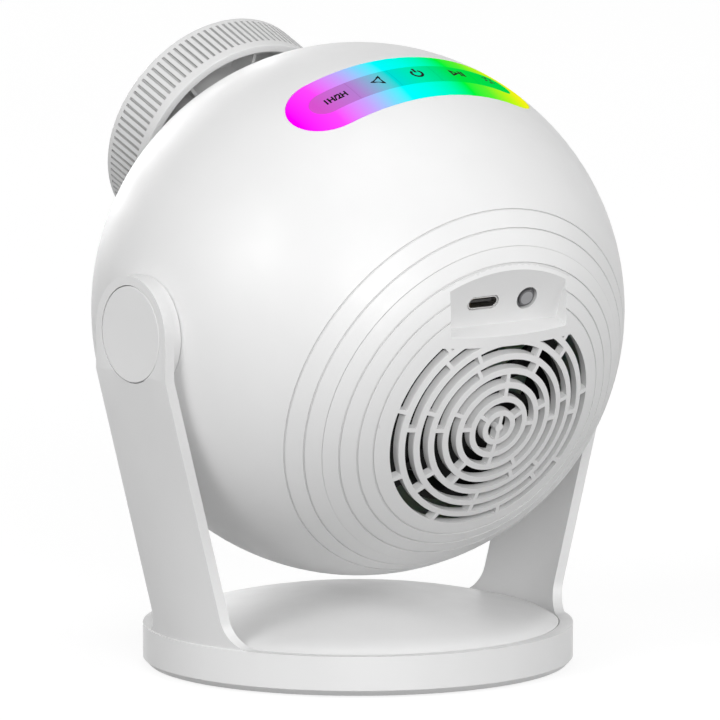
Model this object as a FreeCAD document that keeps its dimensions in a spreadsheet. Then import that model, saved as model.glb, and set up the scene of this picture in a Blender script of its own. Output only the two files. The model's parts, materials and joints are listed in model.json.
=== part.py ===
"""Home planetarium projector: a ball with a focus ring, tilting in a fork-shaped stand.

World frame: +Z up, origin at the centre of the flat underside, lens towards -Y, pivots along X.
Ball frame: x as in the world, y towards the touch strip, z along the lens axis, origin at the ball's centre.
"""

import FreeCAD, Part
import math
import os

import Sketcher

Vector = FreeCAD.Vector

# Driving dimensions: name, millimetres (or degrees, or a count), and what it measures.
SIZES = (
    # Ball and its place
    ("ball_radius", 65.0, "outside radius of the ball"),
    ("ball_wall", 2.4, "wall of the ball shell"),
    ("ball_gap", 4.0, "gap between the ball and the base dome"),
    ("tilt", 20.8, "degrees that the lens looks up at rest"),
    ("side_cut", 1.8, "depth of the flat that each pivot boss faces"),
    ("front_cut", 9.0, "depth of the flat front face"),
    ("front_hole", 30.0, "radius of the opening in the front face"),
    ("seam_radius", 43.05, "radius of the seam between shell and rear cover"),
    ("seam_gap", 0.15, "gap at the seam"),
    ("groove_half", 0.32, "half width of the decorative grooves"),
    ("groove_depth", 0.35, "depth of the decorative grooves"),
    ("shell_groove_near", 3.15, "first shell groove, outside the seam"),
    ("shell_groove_far", 6.45, "second shell groove, outside the seam"),
    ("cover_groove_near", 3.35, "first cover groove, inside the seam"),
    ("cover_groove_mid", 7.05, "second cover groove, inside the seam"),
    ("cover_groove_far", 10.5, "third cover groove, inside the seam"),
    # Stand
    ("ring_radius", 52.5, "outside radius of the base ring"),
    ("ring_wall", 3.3, "wall of the base ring"),
    ("ring_top", 10.2, "top of the base ring above the table"),
    ("foot_bevel", 1.9, "height of the bevel under the base ring"),
    ("arm_width", 28.6, "width of each arm"),
    ("arm_wall", 2.7, "thickness of each arm"),
    ("arm_knee", 10.0, "height of the bend in the arm below the pivot"),
    ("arm_inset", 0.4, "foot of the arm inside the ring's outer wall"),
    ("flare_radius", 7.0, "fillet between arm and ring"),
    ("boss_shoulder", 0.3, "rim of the arm round its boss"),
    ("boss_height", 2.2, "height of the boss between arm and ball"),
    ("running_gap", 0.3, "gap between faces that move past each other"),
    ("flange_reach", 4.2, "width of the ledge inside the base ring"),
    ("flange_wall", 2.0, "thickness of that ledge"),
    ("dome_top", 18.4, "top of the base dome above the table"),
    ("dome_curve", 165.0, "radius of curvature of the base dome"),
    ("dome_shoulder", 3.2, "width of the base dome's sloping edge"),
    ("dome_wall", 2.0, "wall of the base dome"),
    ("loose_fit", 0.2, "radial clearance of pieces that are laid in"),
    ("tight_fit", 0.05, "radial clearance of a guided or located piece"),
    ("plate_wall", 2.0, "thickness of the bottom plate inside the ring"),
    ("pad_margin", 4.5, "width of the rim round the anti-slip pad"),
    ("pad_wall", 1.0, "thickness of the anti-slip pad"),
    ("pad_proud", 0.4, "height that the pad stands out under the plate"),
    ("base_screw_inset", 13.5, "base screws from the ring's outer wall"),
    ("base_screw_length", 8.0, "length of a screw under its head"),
    ("base_boss_radius", 3.4, "radius of the screw bosses in the dome"),
    ("ballast_margin", 6.0, "edge of the ballast plate from the base screws"),
    ("ballast_wall", 5.0, "thickness of the steel ballast plate"),
    ("screw_radius", 1.5, "radius of the base and optics screws"),
    ("screw_head_radius", 2.8, "radius of the screw heads"),
    ("screw_head_height", 1.2, "height of the screw heads"),
    # Pivots
    ("cap_rim", 2.3, "rim of the arm round the pivot cap"),
    ("cap_wall", 1.4, "thickness of the pivot cap"),
    ("pin_radius", 5.0, "radius of the pivot pin"),
    ("pin_head_radius", 8.0, "radius of the pivot pin's head"),
    ("pin_head_height", 1.4, "height of the pivot pin's head"),
    ("pin_thread_radius", 3.0, "radius of the pivot pin's thread"),
    ("pin_thread_spare", 1.0, "thread that stands out of the lock nut"),
    ("hub_radius", 9.0, "radius of the pivot hub inside the ball"),
    ("hub_depth", 8.2, "length of the pivot hub inside the ball"),
    ("washer_wall", 0.8, "thickness of the friction washer"),
    ("nut_radius", 5.8, "corner radius of the lock nut"),
    ("nut_height", 3.2, "height of the lock nut"),
    # Rear cover
    ("cover_curve", 88.0, "radius of curvature of the grille"),
    ("cover_blend", 40.0, "radius of the blend between grille and ball"),
    ("cover_wall", 2.2, "wall of the rear cover"),
    ("spigot_depth", 5.5, "depth of the spigot inside the shell"),
    ("spigot_wall", 1.8, "wall of the spigot"),
    ("snap_reach", 1.5, "height of the snap bead on the spigot"),
    ("snap_width", 1.0, "width of the snap bead"),
    ("slot_first", 3.2, "outer radius of the innermost slot ring"),
    ("slot_margin", 14.37, "edge of the grille from the seam"),
    ("slot_width", 2.1, "radial width of a slot"),
    ("slot_rings", 8, "number of slot rings"),
    ("bridge_width", 1.05, "width of the bridges between slots"),
    ("slot_clear", 2.5, "height of the plain band under the recess"),
    ("recess_half", 17.4, "half width of the socket recess"),
    ("recess_depth", 3.6, "recess's rear face behind the seam"),
    ("recess_below", 6.3, "recess floor below the middle of the socket"),
    ("recess_wall", 2.1, "wall around the recess"),
    # Socket and button
    ("socket_across", 6.25, "socket's distance to the left of the middle"),
    ("socket_width", 8.94, "width of the socket's metal shell"),
    ("socket_height", 3.26, "height of the socket's metal shell"),
    ("socket_depth", 7.35, "length of the socket's metal shell"),
    ("socket_wall", 0.35, "sheet thickness of the socket's shell"),
    ("tongue_width", 6.7, "width of the contact tongue"),
    ("tongue_wall", 0.7, "thickness of the contact tongue"),
    ("tongue_sunk", 1.0, "tongue's end inside the socket's mouth"),
    ("button_across", 6.9, "button's distance to the right of the middle"),
    ("button_radius", 2.1, "radius of the button's face"),
    ("button_step", 0.75, "width of the button's collar"),
    ("button_sunk", 0.9, "depth of the collar in its hole"),
    ("button_gap", 0.1, "gap around the button's collar"),
    ("button_lip", 0.55, "width of the flange behind the wall"),
    ("button_flange", 0.7, "thickness of that flange"),
    ("button_stem", 0.2, "length of the stem behind the flange"),
    ("button_travel", 0.4, "travel of the button"),
    ("switch_width", 6.0, "width of the tact switch"),
    ("switch_depth", 3.6, "depth of the tact switch"),
    ("switch_stem", 0.8, "height of the tact switch's actuator"),
    # Main board
    ("board_half", 18.0, "half width of the main board"),
    ("board_length", 25.0, "length of the main board"),
    ("board_wall", 1.6, "thickness of the circuit boards"),
    ("board_gap", 0.5, "gap between the fan and the main board"),
    ("chip_width", 7.0, "width of the controller chip"),
    ("chip_height", 1.0, "height of the controller chip"),
    # Fan
    ("fan_margin", 6.1, "fan screws from the inside of the spigot"),
    ("fan_ear_rise", 0.27, "fan's ears above its round frame"),
    ("fan_wall", 2.5, "wall of the fan's frame"),
    ("fan_depth", 10.0, "depth of the fan frame"),
    ("fan_gap", 0.4, "gap between the fan and the wall of the recess"),
    ("fan_hub", 9.0, "radius of the impeller hub"),
    ("fan_tip_gap", 0.7, "gap between blade tips and frame"),
    ("fan_blades", 9, "number of blades"),
    ("fan_plate", 1.2, "thickness of the fan's motor plate and spokes"),
    ("blade_angle", 35.0, "pitch of the blades in degrees"),
    ("blade_wall", 0.9, "thickness of a blade"),
    ("fan_ear_wall", 3.0, "thickness of the fan's ears"),
    ("fan_ear_half", 2.86, "half width of the fan's ears"),
    ("fan_post_radius", 2.2, "radius of the fan posts in the cover"),
    ("fan_screw_radius", 1.0, "radius of the fan screws"),
    ("fan_screw_head", 2.0, "radius of the fan screws' heads"),
    ("fan_screw_length", 4.0, "length of a fan screw under its head"),
    # Front bezel, focus ring and lens
    ("lens_margin", 0.7, "edge of the sleeve from the edge of the front opening"),
    ("bezel_wall", 2.2, "thickness of the bezel's flange"),
    ("bezel_lip", 1.5, "width of the bezel's flange behind the opening"),
    ("sleeve_radius", 16.0, "outside radius of the lens sleeve"),
    ("sleeve_out", 11.0, "length of the sleeve in front of the front face"),
    ("sleeve_in", 11.0, "length of the sleeve behind the front face"),
    ("barrel_wall", 1.9, "thickness of the sleeve round the barrel"),
    ("barrel_proud", 1.5, "barrel's front end in front of the sleeve"),
    ("barrel_tail", 2.0, "barrel's rear end behind the sleeve"),
    ("focus_radius", 29.5, "outside radius of the focus ring"),
    ("focus_gap", 1.3, "gap between the front face and the focus ring"),
    ("focus_length", 14.9, "length of the focus ring"),
    ("focus_wall", 2.7, "wall of the focus ring"),
    ("focus_web", 2.8, "thickness of the focus ring's front"),
    ("focus_web_sunk", 1.8, "depth of the focus ring's front behind its rim"),
    ("focus_hub_wall", 2.2, "wall of the focus ring's hub"),
    ("focus_chamfer", 0.9, "chamfer at the front of the focus ring"),
    ("focus_rim", 2.0, "width of the focus ring's flat front rim"),
    ("focus_lip", 1.7, "width of the rounded edge at the rear"),
    ("focus_aperture", 0.5, "gap between the barrel and the focus ring's front"),
    ("focus_ribs", 8, "ribs inside the focus ring"),
    ("rib_turn", 46.0, "degrees from the pivot axis to the first rib"),
    ("rib_wall", 0.9, "thickness of a rib"),
    ("knurl_rear", 2.35, "plain band behind the knurling"),
    ("knurl_front", 2.3, "plain band in front of the knurling"),
    ("knurl_count", 102, "number of knurl grooves"),
    ("knurl_width", 0.73, "width of a knurl groove"),
    ("knurl_depth", 0.55, "depth of a knurl groove"),
    ("lens_rim", 1.65, "wall of the barrel round the front lens"),
    ("front_lens_sunk", 10.0, "rear face of the front lens behind the barrel's end"),
    ("front_lens_edge", 2.5, "edge thickness of the front lens"),
    ("front_lens_bulge", 3.2, "height of the front lens's curve"),
    ("retainer_length", 2.0, "length of the ring that holds the front lens"),
    ("rear_lens_wall", 3.05, "wall of the barrel round the rear lens"),
    ("rear_lens_sunk", 7.0, "front face of the rear lens from the barrel's rear end"),
    ("rear_lens_edge", 2.0, "edge thickness of the rear lens"),
    ("rear_lens_bulge", 2.6, "height of the rear lens's curve"),
    ("lens_lip", 0.9, "width of the flat rim on a lens"),
    # Optics frame, star disc and lamp
    ("disc_space", 16.0, "space for the star disc between frame and sleeve"),
    ("frame_wall", 3.0, "thickness of the optics frame's plate"),
    ("frame_margin", 1.5, "edge of the optics frame outside its screw bosses"),
    ("frame_tube_wall", 2.9, "wall of the lamp tube"),
    ("lamp_tube", 8.2, "length of the lamp tube"),
    ("collar_wall", 3.9, "wall of the collar that the disc carrier turns on"),
    ("collar_height", 6.2, "height of that collar"),
    ("post_radius", 3.0, "radius of the bezel's posts"),
    ("post_inset", 2.3, "bezel's posts from the edge of its flange"),
    ("post_high_angle", 15.8, "degrees of the upper posts above the middle"),
    ("post_low_angle", 39.3, "degrees of the lower posts below the middle"),
    ("carrier_gap", 1.2, "gap between the frame and the disc carrier"),
    ("carrier_height", 8.0, "height of the disc carrier"),
    ("carrier_wall", 1.6, "wall of the disc carrier round the star disc"),
    ("gear_face", 3.0, "face width of the gears"),
    ("gear_module", 1.0, "module of the disc drive"),
    ("gear_teeth", 48, "teeth on the disc carrier"),
    ("pinion_teeth", 12, "teeth on the pinion"),
    ("disc_radius", 21.9, "radius of the star disc"),
    ("disc_wall", 1.0, "thickness of the star disc"),
    ("disc_lift", 0.6, "gap between the collar and the star disc"),
    ("clip_wall", 1.0, "thickness of the disc clip"),
    ("clip_reach", 2.4, "width of the disc clip"),
    ("motor_radius", 7.5, "radius of the disc motor"),
    ("motor_length", 18.0, "length of the disc motor"),
    ("motor_nose_radius", 2.4, "radius of the motor's nose"),
    ("motor_nose_length", 1.5, "length of the motor's nose"),
    ("shaft_radius", 1.0, "radius of the motor shaft"),
    ("shaft_sunk", 6.0, "length of the shaft inside the motor"),
    ("shaft_spare", 0.5, "shaft that stands out of the pinion"),
    ("condenser_radius", 12.5, "radius of the condenser lens"),
    ("condenser_edge", 2.0, "edge thickness of the condenser lens"),
    ("condenser_bulge", 3.5, "height of the condenser lens's curve"),
    ("lamp_board_radius", 15.4, "radius of the lamp board"),
    ("emitter_half", 2.5, "half width of the lamp's emitter"),
    ("emitter_height", 1.5, "height of the lamp's emitter"),
    ("sink_screw_gap", 1.6, "gap between the lamp board and the screw bosses"),
    ("sink_margin", 3.0, "edge of the heat sink outside its screws"),
    ("sink_wall", 3.0, "base thickness of the heat sink"),
    ("fin_length", 19.0, "length of the heat sink's fins"),
    ("fin_wall", 1.2, "thickness of a fin"),
    ("fin_pitch", 3.4, "pitch of the fins"),
    ("fin_count", 7, "number of fins"),
    # Touch strip
    ("strip_half", 25.0, "half distance between the strip's round ends"),
    ("strip_radius", 9.8, "radius of the strip's ends"),
    ("panel_half", 25.65, "half distance between the key panel's round ends"),
    ("panel_radius", 3.85, "radius of the key panel's ends"),
    ("strip_shift", 0.6, "strip's distance behind the ball's middle"),
    ("strip_gap", 0.15, "gap around the strip and the key panel"),
    ("strip_lip", 2.0, "width of the strip's flange under the shell"),
    ("strip_lip_wall", 1.2, "thickness of that flange"),
    ("touch_half", 32.0, "half length of the touch board"),
    ("touch_reach", 7.0, "half width of the touch board"),
    ("touch_drop", 0.4, "gap between the strip and the touch board's corners"),
    ("touch_wall", 1.2, "thickness of the touch board"),
    ("led_half", 1.75, "half width of a strip lamp"),
    ("led_height", 1.0, "height of a strip lamp"),
    ("led_pitch", 9.6, "pitch of the strip lamps"),
    ("led_count", 6, "number of strip lamps"),
)

doc = FreeCAD.newDocument("PlanetariumProjector")
sheet = doc.addObject("Spreadsheet::Sheet", "Sizes")
for row, (alias, number, meaning) in enumerate(SIZES, start=1):
    sheet.set(f"A{row}", alias)
    sheet.set(f"B{row}", str(number))
    sheet.setAlias(f"B{row}", alias)
    sheet.set(f"C{row}", meaning)
doc.recompute()


class Quantity:
    """A number together with the spreadsheet expression that gives it."""

    def __init__(self, value, text):
        self.value = value
        self.text = text

    def joined(self, sign, other, value):
        return Quantity(value, f"({self.text} {sign} {other.text})")

    def __add__(self, other):
        other = quantity(other)
        return self.joined("+", other, self.value + other.value)

    def __sub__(self, other):
        other = quantity(other)
        return self.joined("-", other, self.value - other.value)

    def __mul__(self, other):
        other = quantity(other)
        return self.joined("*", other, self.value * other.value)

    def __truediv__(self, other):
        other = quantity(other)
        return self.joined("/", other, self.value / other.value)

    def __neg__(self):
        return Quantity(-self.value, f"(0 - {self.text})")


def quantity(item):
    """Make a plain number usable beside spreadsheet values."""
    if isinstance(item, Quantity):
        return item
    return Quantity(float(item), str(item))


def root(item):
    return Quantity(math.sqrt(item.value), f"sqrt({item.text})")


def cosine(item):
    return Quantity(math.cos(math.radians(item.value)), f"cos({item.text} * 1 deg)")


def sine(item):
    return Quantity(math.sin(math.radians(item.value)), f"sin({item.text} * 1 deg)")


def on_circle(radius, other):
    """The second coordinate of a point on a circle about the origin."""
    return root(radius * radius - other * other)


class SheetValues:
    """Reads a spreadsheet value by its alias, as in size.ball_radius."""

    def __getattr__(self, alias):
        return Quantity(float(sheet.get(alias)), f"Sizes.{alias}")


size = SheetValues()
ZERO = quantity(0)


def bind(thing, path, item):
    """Tie a property to the spreadsheet."""
    thing.setExpression(path, quantity(item).text)


# ---------------------------------------------------------------- sketches and features

def new_sketch(body, plane, offset=ZERO):
    """An empty sketch on one of the body's origin planes, moved along the plane's normal."""
    sketch = body.newObject("Sketcher::SketchObject", "Sketch")
    support = [item for item in body.Origin.OriginFeatures if item.Role == plane][0]
    sketch.AttachmentSupport = (support, [""])
    sketch.MapMode = "FlatFace"
    sketch.AttachmentOffset = FreeCAD.Placement(Vector(0, 0, quantity(offset).value), FreeCAD.Rotation())
    bind(sketch, "AttachmentOffset.Base.z", offset)
    return sketch


def fix(sketch, rules, texts, kind, geometry, place, item):
    """Queue the constraint that sets one coordinate of a point."""
    if item is ZERO:
        axis = {"DistanceX": -2, "DistanceY": -1}[kind]
        rules.append(Sketcher.Constraint("PointOnObject", geometry, place, axis))
    else:
        texts[len(rules)] = item.text
        rules.append(Sketcher.Constraint(kind, -1, 1, geometry, place, item.value))


def apply_rules(sketch, rules, texts):
    numbers = sketch.addConstraint(rules)
    for place, text in texts.items():
        sketch.setExpression(f"Constraints[{numbers[place]}]", text)


def draw_outline(sketch, points, arcs=None):
    """Draw a closed outline. arcs gives, for an edge number, (centre, fixed axis, counter-clockwise)."""
    arcs = arcs or {}
    first = sketch.GeometryCount
    count = len(points)
    starts = []
    ends = []
    for edge in range(count):
        near = Vector(points[edge][0].value, points[edge][1].value, 0)
        far_point = points[(edge + 1) % count]
        far = Vector(far_point[0].value, far_point[1].value, 0)
        if edge in arcs:
            centre_point, _, counter_clockwise = arcs[edge]
            centre = Vector(centre_point[0].value, centre_point[1].value, 0)
            angles = [math.atan2(item.y - centre.y, item.x - centre.x) for item in (near, far)]
            if not counter_clockwise:
                angles.reverse()
            circle = Part.Circle(centre, Vector(0, 0, 1), (near - centre).Length)
            sketch.addGeometry(Part.ArcOfCircle(circle, angles[0], angles[1]), False)
            starts.append(1 if counter_clockwise else 2)
            ends.append(2 if counter_clockwise else 1)
        else:
            sketch.addGeometry(Part.LineSegment(near, far), False)
            starts.append(1)
            ends.append(2)
    rules = []
    texts = {}
    for edge in range(count):
        after = (edge + 1) % count
        rules.append(Sketcher.Constraint("Coincident", first + edge, ends[edge], first + after, starts[after]))
        fix(sketch, rules, texts, "DistanceX", first + edge, starts[edge], points[edge][0])
        fix(sketch, rules, texts, "DistanceY", first + edge, starts[edge], points[edge][1])
        if edge in arcs:
            centre_point, fixed_axis, _ = arcs[edge]
            kind = {"x": "DistanceX", "y": "DistanceY"}[fixed_axis]
            item = centre_point[0] if fixed_axis == "x" else centre_point[1]
            fix(sketch, rules, texts, kind, first + edge, 3, item)
    apply_rules(sketch, rules, texts)


def draw_circle(sketch, across, up, radius):
    number = sketch.GeometryCount
    circle = Part.Circle(Vector(across.value, up.value, 0), Vector(0, 0, 1), radius.value)
    sketch.addGeometry(circle, False)
    rules = []
    texts = {}
    fix(sketch, rules, texts, "DistanceX", number, 3, across)
    fix(sketch, rules, texts, "DistanceY", number, 3, up)
    texts[len(rules)] = radius.text
    rules.append(Sketcher.Constraint("Radius", number, radius.value))
    apply_rules(sketch, rules, texts)


def rectangle(left, right, low, high):
    return [(left, low), (right, low), (right, high), (left, high)]


def turned_point(across, along, degrees):
    """A point of an outline, turned about the origin."""
    right = across * cosine(degrees) - along * sine(degrees)
    up = across * sine(degrees) + along * cosine(degrees)
    return right, up


def obround(half, radius, middle=ZERO):
    """Outline and arcs of a slot shape with round ends, long side along the sketch's x."""
    low = middle - radius
    high = middle + radius
    points = [(-half, low), (half, low), (half, high), (-half, high)]
    arcs = {1: ((half, middle), "x", True), 3: ((-half, middle), "x", True)}
    return points, arcs


def new_body(name):
    return doc.addObject("PartDesign::Body", name)


def revolve(body, points, arcs=None, plane="XZ_Plane", axis="V_Axis"):
    sketch = new_sketch(body, plane)
    draw_outline(sketch, points, arcs)
    feature = body.newObject("PartDesign::Revolution", "Revolution")
    feature.Profile = sketch
    feature.ReferenceAxis = (sketch, [axis])
    feature.Angle = 360
    return feature


def turned(name, points, arcs=None):
    """A body turned about its own z axis."""
    body = new_body(name)
    revolve(body, points, arcs)
    return body


def disc(name, radius, low, high):
    """A plain round body along z."""
    return turned(name, rectangle(ZERO, radius, low, high))


def extruded(name, outline, start, length):
    """A body with one straight outline, drawn in x and y and padded along z from start."""
    body = new_body(name)
    sketch = new_sketch(body, "XY_Plane", start)
    draw_outline(sketch, outline)
    pad(body, sketch, length)
    return body


def pad(body, sketch, length, midplane=False, backwards=False):
    feature = body.newObject("PartDesign::Pad", "Pad")
    feature.Profile = sketch
    feature.SideType = "Symmetric" if midplane else "One side"
    feature.Reversed = backwards
    bind(feature, "Length", length)
    return feature


def pocket(body, sketch, length, midplane=False, backwards=False):
    feature = body.newObject("PartDesign::Pocket", "Pocket")
    feature.Profile = sketch
    feature.SideType = "Symmetric" if midplane else "One side"
    feature.Reversed = backwards
    bind(feature, "Length", length)
    return feature


def groove_outline(radius, curve, centre):
    """Corners of a small groove with sloping walls, on the rear side of a surface turned about z.

    The surface's outline is an arc of radius curve about centre, a point of the XZ plane."""
    out = (radius - centre[0]) / curve
    down = on_circle(quantity(1), out)
    points = []
    for side, depth in ((-1, -1), (1, -1), (0.5, 1), (-0.5, 1)):
        aside = size.groove_half * side
        reach = curve - size.groove_depth * depth
        points.append((centre[0] + out * reach + down * aside, centre[1] - down * reach + out * aside))
    return points


def ring_grooves(body, radii, curve, centre):
    """Cut small grooves along circles into a surface turned about z."""
    sketch = new_sketch(body, "XZ_Plane")
    for radius in radii:
        draw_outline(sketch, groove_outline(radius, curve, centre))
    groove = body.newObject("PartDesign::Groove", "Groove")
    groove.Profile = sketch
    groove.ReferenceAxis = (sketch, ["V_Axis"])
    groove.Angle = 360
    return groove


def mirror(body, features, plane="YZ_Plane"):
    support = [item for item in body.Origin.OriginFeatures if item.Role == plane][0]
    feature = body.newObject("PartDesign::Mirrored", "Mirrored")
    feature.Originals = features
    feature.MirrorPlane = (support, [""])
    body.Tip = feature
    return feature


def around(body, features, count):
    """Repeat features around the body's z axis."""
    axis = [item for item in body.Origin.OriginFeatures if item.Role == "Z_Axis"][0]
    feature = body.newObject("PartDesign::PolarPattern", "PolarPattern")
    feature.Originals = features
    feature.Axis = (axis, [""])
    feature.Angle = 360
    bind(feature, "Occurrences", count)
    body.Tip = feature
    return feature


# ---------------------------------------------------------------- primitives and booleans

def place(thing, across=ZERO, along=ZERO, up=ZERO):
    bind(thing, "Placement.Base.x", across)
    bind(thing, "Placement.Base.y", along)
    bind(thing, "Placement.Base.z", up)
    return thing


def cylinder(radius, height, across=ZERO, along=ZERO, up=ZERO):
    thing = doc.addObject("Part::Cylinder", "Cylinder")
    bind(thing, "Radius", radius)
    bind(thing, "Height", height)
    return place(thing, across, along, up)


def box(left, right, near, far, low, high):
    """A box between three pairs of coordinates."""
    thing = doc.addObject("Part::Box", "Box")
    bind(thing, "Length", quantity(right) - left)
    bind(thing, "Width", quantity(far) - near)
    bind(thing, "Height", quantity(high) - low)
    return place(thing, left, near, low)


def sphere(radius):
    thing = doc.addObject("Part::Sphere", "Sphere")
    bind(thing, "Radius", radius)
    return thing


def cut(base, *tools):
    thing = doc.addObject("Part::Cut", "Cut")
    thing.Base = base
    thing.Tool = tools[0] if len(tools) == 1 else fuse(*tools)
    return thing


def fuse(*pieces):
    thing = doc.addObject("Part::MultiFuse", "Fusion")
    thing.Shapes = list(pieces)
    return thing


def common(first, second):
    thing = doc.addObject("Part::MultiCommon", "Common")
    thing.Shapes = [first, second]
    return thing


def computed(shape, name="Shape"):
    """A feature whose shape is worked out here from the spreadsheet's values."""
    thing = doc.addObject("Part::Feature", name)
    thing.Shape = shape
    return thing


def copies(original, places):
    """Several identical pieces as the separate solids of one node."""
    links = []
    for across, along, up, turn in places:
        link = doc.addObject("App::Link", "Copy")
        link.LinkedObject = original
        link.Placement = FreeCAD.Placement(Vector(), turn)
        place(link, across, along, up)
        links.append(link)
    group = doc.addObject("Part::Compound", "Group")
    group.Links = links
    return group


def seat_in_ball(thing, up=ZERO, across=ZERO):
    """Place a piece in the tilted ball, its origin at (across, up) from the ball's axis."""
    thing.Placement = FreeCAD.Placement(Vector(), FreeCAD.Rotation(Vector(1, 0, 0), 90 - size.tilt.value))
    bind(thing, "Placement.Rotation.Angle", quantity(90) - size.tilt)
    bind(thing, "Placement.Base.x", across)
    bind(thing, "Placement.Base.y", up * sine(size.tilt))
    bind(thing, "Placement.Base.z", ball_height + up * cosine(size.tilt))
    return thing


def corners(across, up):
    """The four sign combinations of a position."""
    return [(across, up), (-across, up), (across, -up), (-across, -up)]


UPRIGHT = FreeCAD.Rotation()
EIGHTH_TURN = FreeCAD.Rotation(Vector(0, 0, 1), 45)
HALF_TURN = FreeCAD.Rotation(Vector(0, 0, 1), 180)
NODES = {}


def node(name, thing):
    """Register a finished sub-part under its node name."""
    thing.Label = name
    NODES[name] = thing
    return thing


# ---------------------------------------------------------------- places that several pieces share

# Base, from the table up
plate_top = size.foot_bevel + size.plate_wall
flange_top = plate_top + size.flange_wall
ring_bore = size.ring_radius - size.ring_wall
pad_radius = size.ring_radius - size.pad_margin
base_screw_circle = size.ring_radius - size.base_screw_inset
ball_height = size.dome_top + size.ball_gap + size.ball_radius

# Pivots, from the ball outwards
side_flat = size.ball_radius - size.side_cut
hub_face = side_flat - size.hub_depth
boss_face = side_flat + size.running_gap
arm_inner = boss_face + size.boss_height
arm_face = arm_inner + size.arm_wall
boss_radius = size.arm_width / 2 - size.boss_shoulder
cap_seat = arm_face - size.cap_wall
cap_recess = size.arm_width / 2 - size.cap_rim
pin_seat = cap_seat - size.pin_head_height
pin_shoulder = hub_face - size.tight_fit * 2

# Ball, from the seam backwards
shell_inner = size.ball_radius - size.ball_wall
seam_rear = -on_circle(size.ball_radius, size.seam_radius)
spigot_out = on_circle(shell_inner, seam_rear) - size.loose_fit
spigot_in = spigot_out - size.spigot_wall
recess_face = seam_rear - size.recess_depth
recess_inner = recess_face + size.recess_wall
fan_face = recess_inner + size.fan_gap
fan_circle = spigot_in - size.fan_margin
fan_ear_end = fan_circle + size.fan_ear_half + size.loose_fit
fan_ear_top = (fan_ear_end + size.fan_ear_half) * cosine(quantity(45))
fan_radius = fan_ear_top - size.fan_ear_rise
fan_bore = fan_radius - size.fan_wall
board_low = fan_ear_top + size.board_gap
board_top = board_low + size.board_wall
socket_up = board_top + size.socket_height / 2
recess_floor = socket_up - size.recess_below
slot_top = recess_floor - size.slot_clear
grille_radius = size.seam_radius - size.slot_margin

# Lens, from the front face backwards
front_flat = size.ball_radius - size.front_cut
bezel_flange = size.front_hole + size.bezel_lip
bezel_step = on_circle(shell_inner, bezel_flange) - size.running_gap
bezel_rear = bezel_step - size.bezel_wall
sleeve_front = front_flat + size.sleeve_out
sleeve_rear = front_flat - size.sleeve_in
lens_rise = size.front_hole - size.sleeve_radius - size.lens_margin
barrel_radius = size.sleeve_radius - size.barrel_wall
barrel_front = sleeve_front + size.barrel_proud
barrel_rear = sleeve_rear - size.barrel_tail
front_lens_radius = barrel_radius - size.lens_rim - size.tight_fit
front_lens_seat = barrel_front - size.front_lens_sunk
rear_lens_radius = barrel_radius - size.rear_lens_wall - size.tight_fit
rear_lens_seat = barrel_rear + size.rear_lens_sunk
focus_rear = front_flat + size.focus_gap
focus_front = focus_rear + size.focus_length
frame_front = sleeve_rear - size.disc_space
frame_rear = frame_front - size.frame_wall
frame_bore = size.condenser_radius + size.tight_fit * 2
lamp_seat = frame_rear - size.lamp_tube
sink_front = lamp_seat - size.board_wall
sink_rear = sink_front - size.sink_wall
sink_screw_across = (size.lamp_board_radius + size.sink_screw_gap + size.screw_head_radius) * cosine(quantity(45))
collar_radius = frame_bore + size.collar_wall
carrier_rear = frame_front + size.carrier_gap
disc_seat = frame_front + size.collar_height + size.disc_lift
pinion_down = size.gear_module * (size.gear_teeth + size.pinion_teeth) / 2 - lens_rise


# ---------------------------------------------------------------- stand

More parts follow.
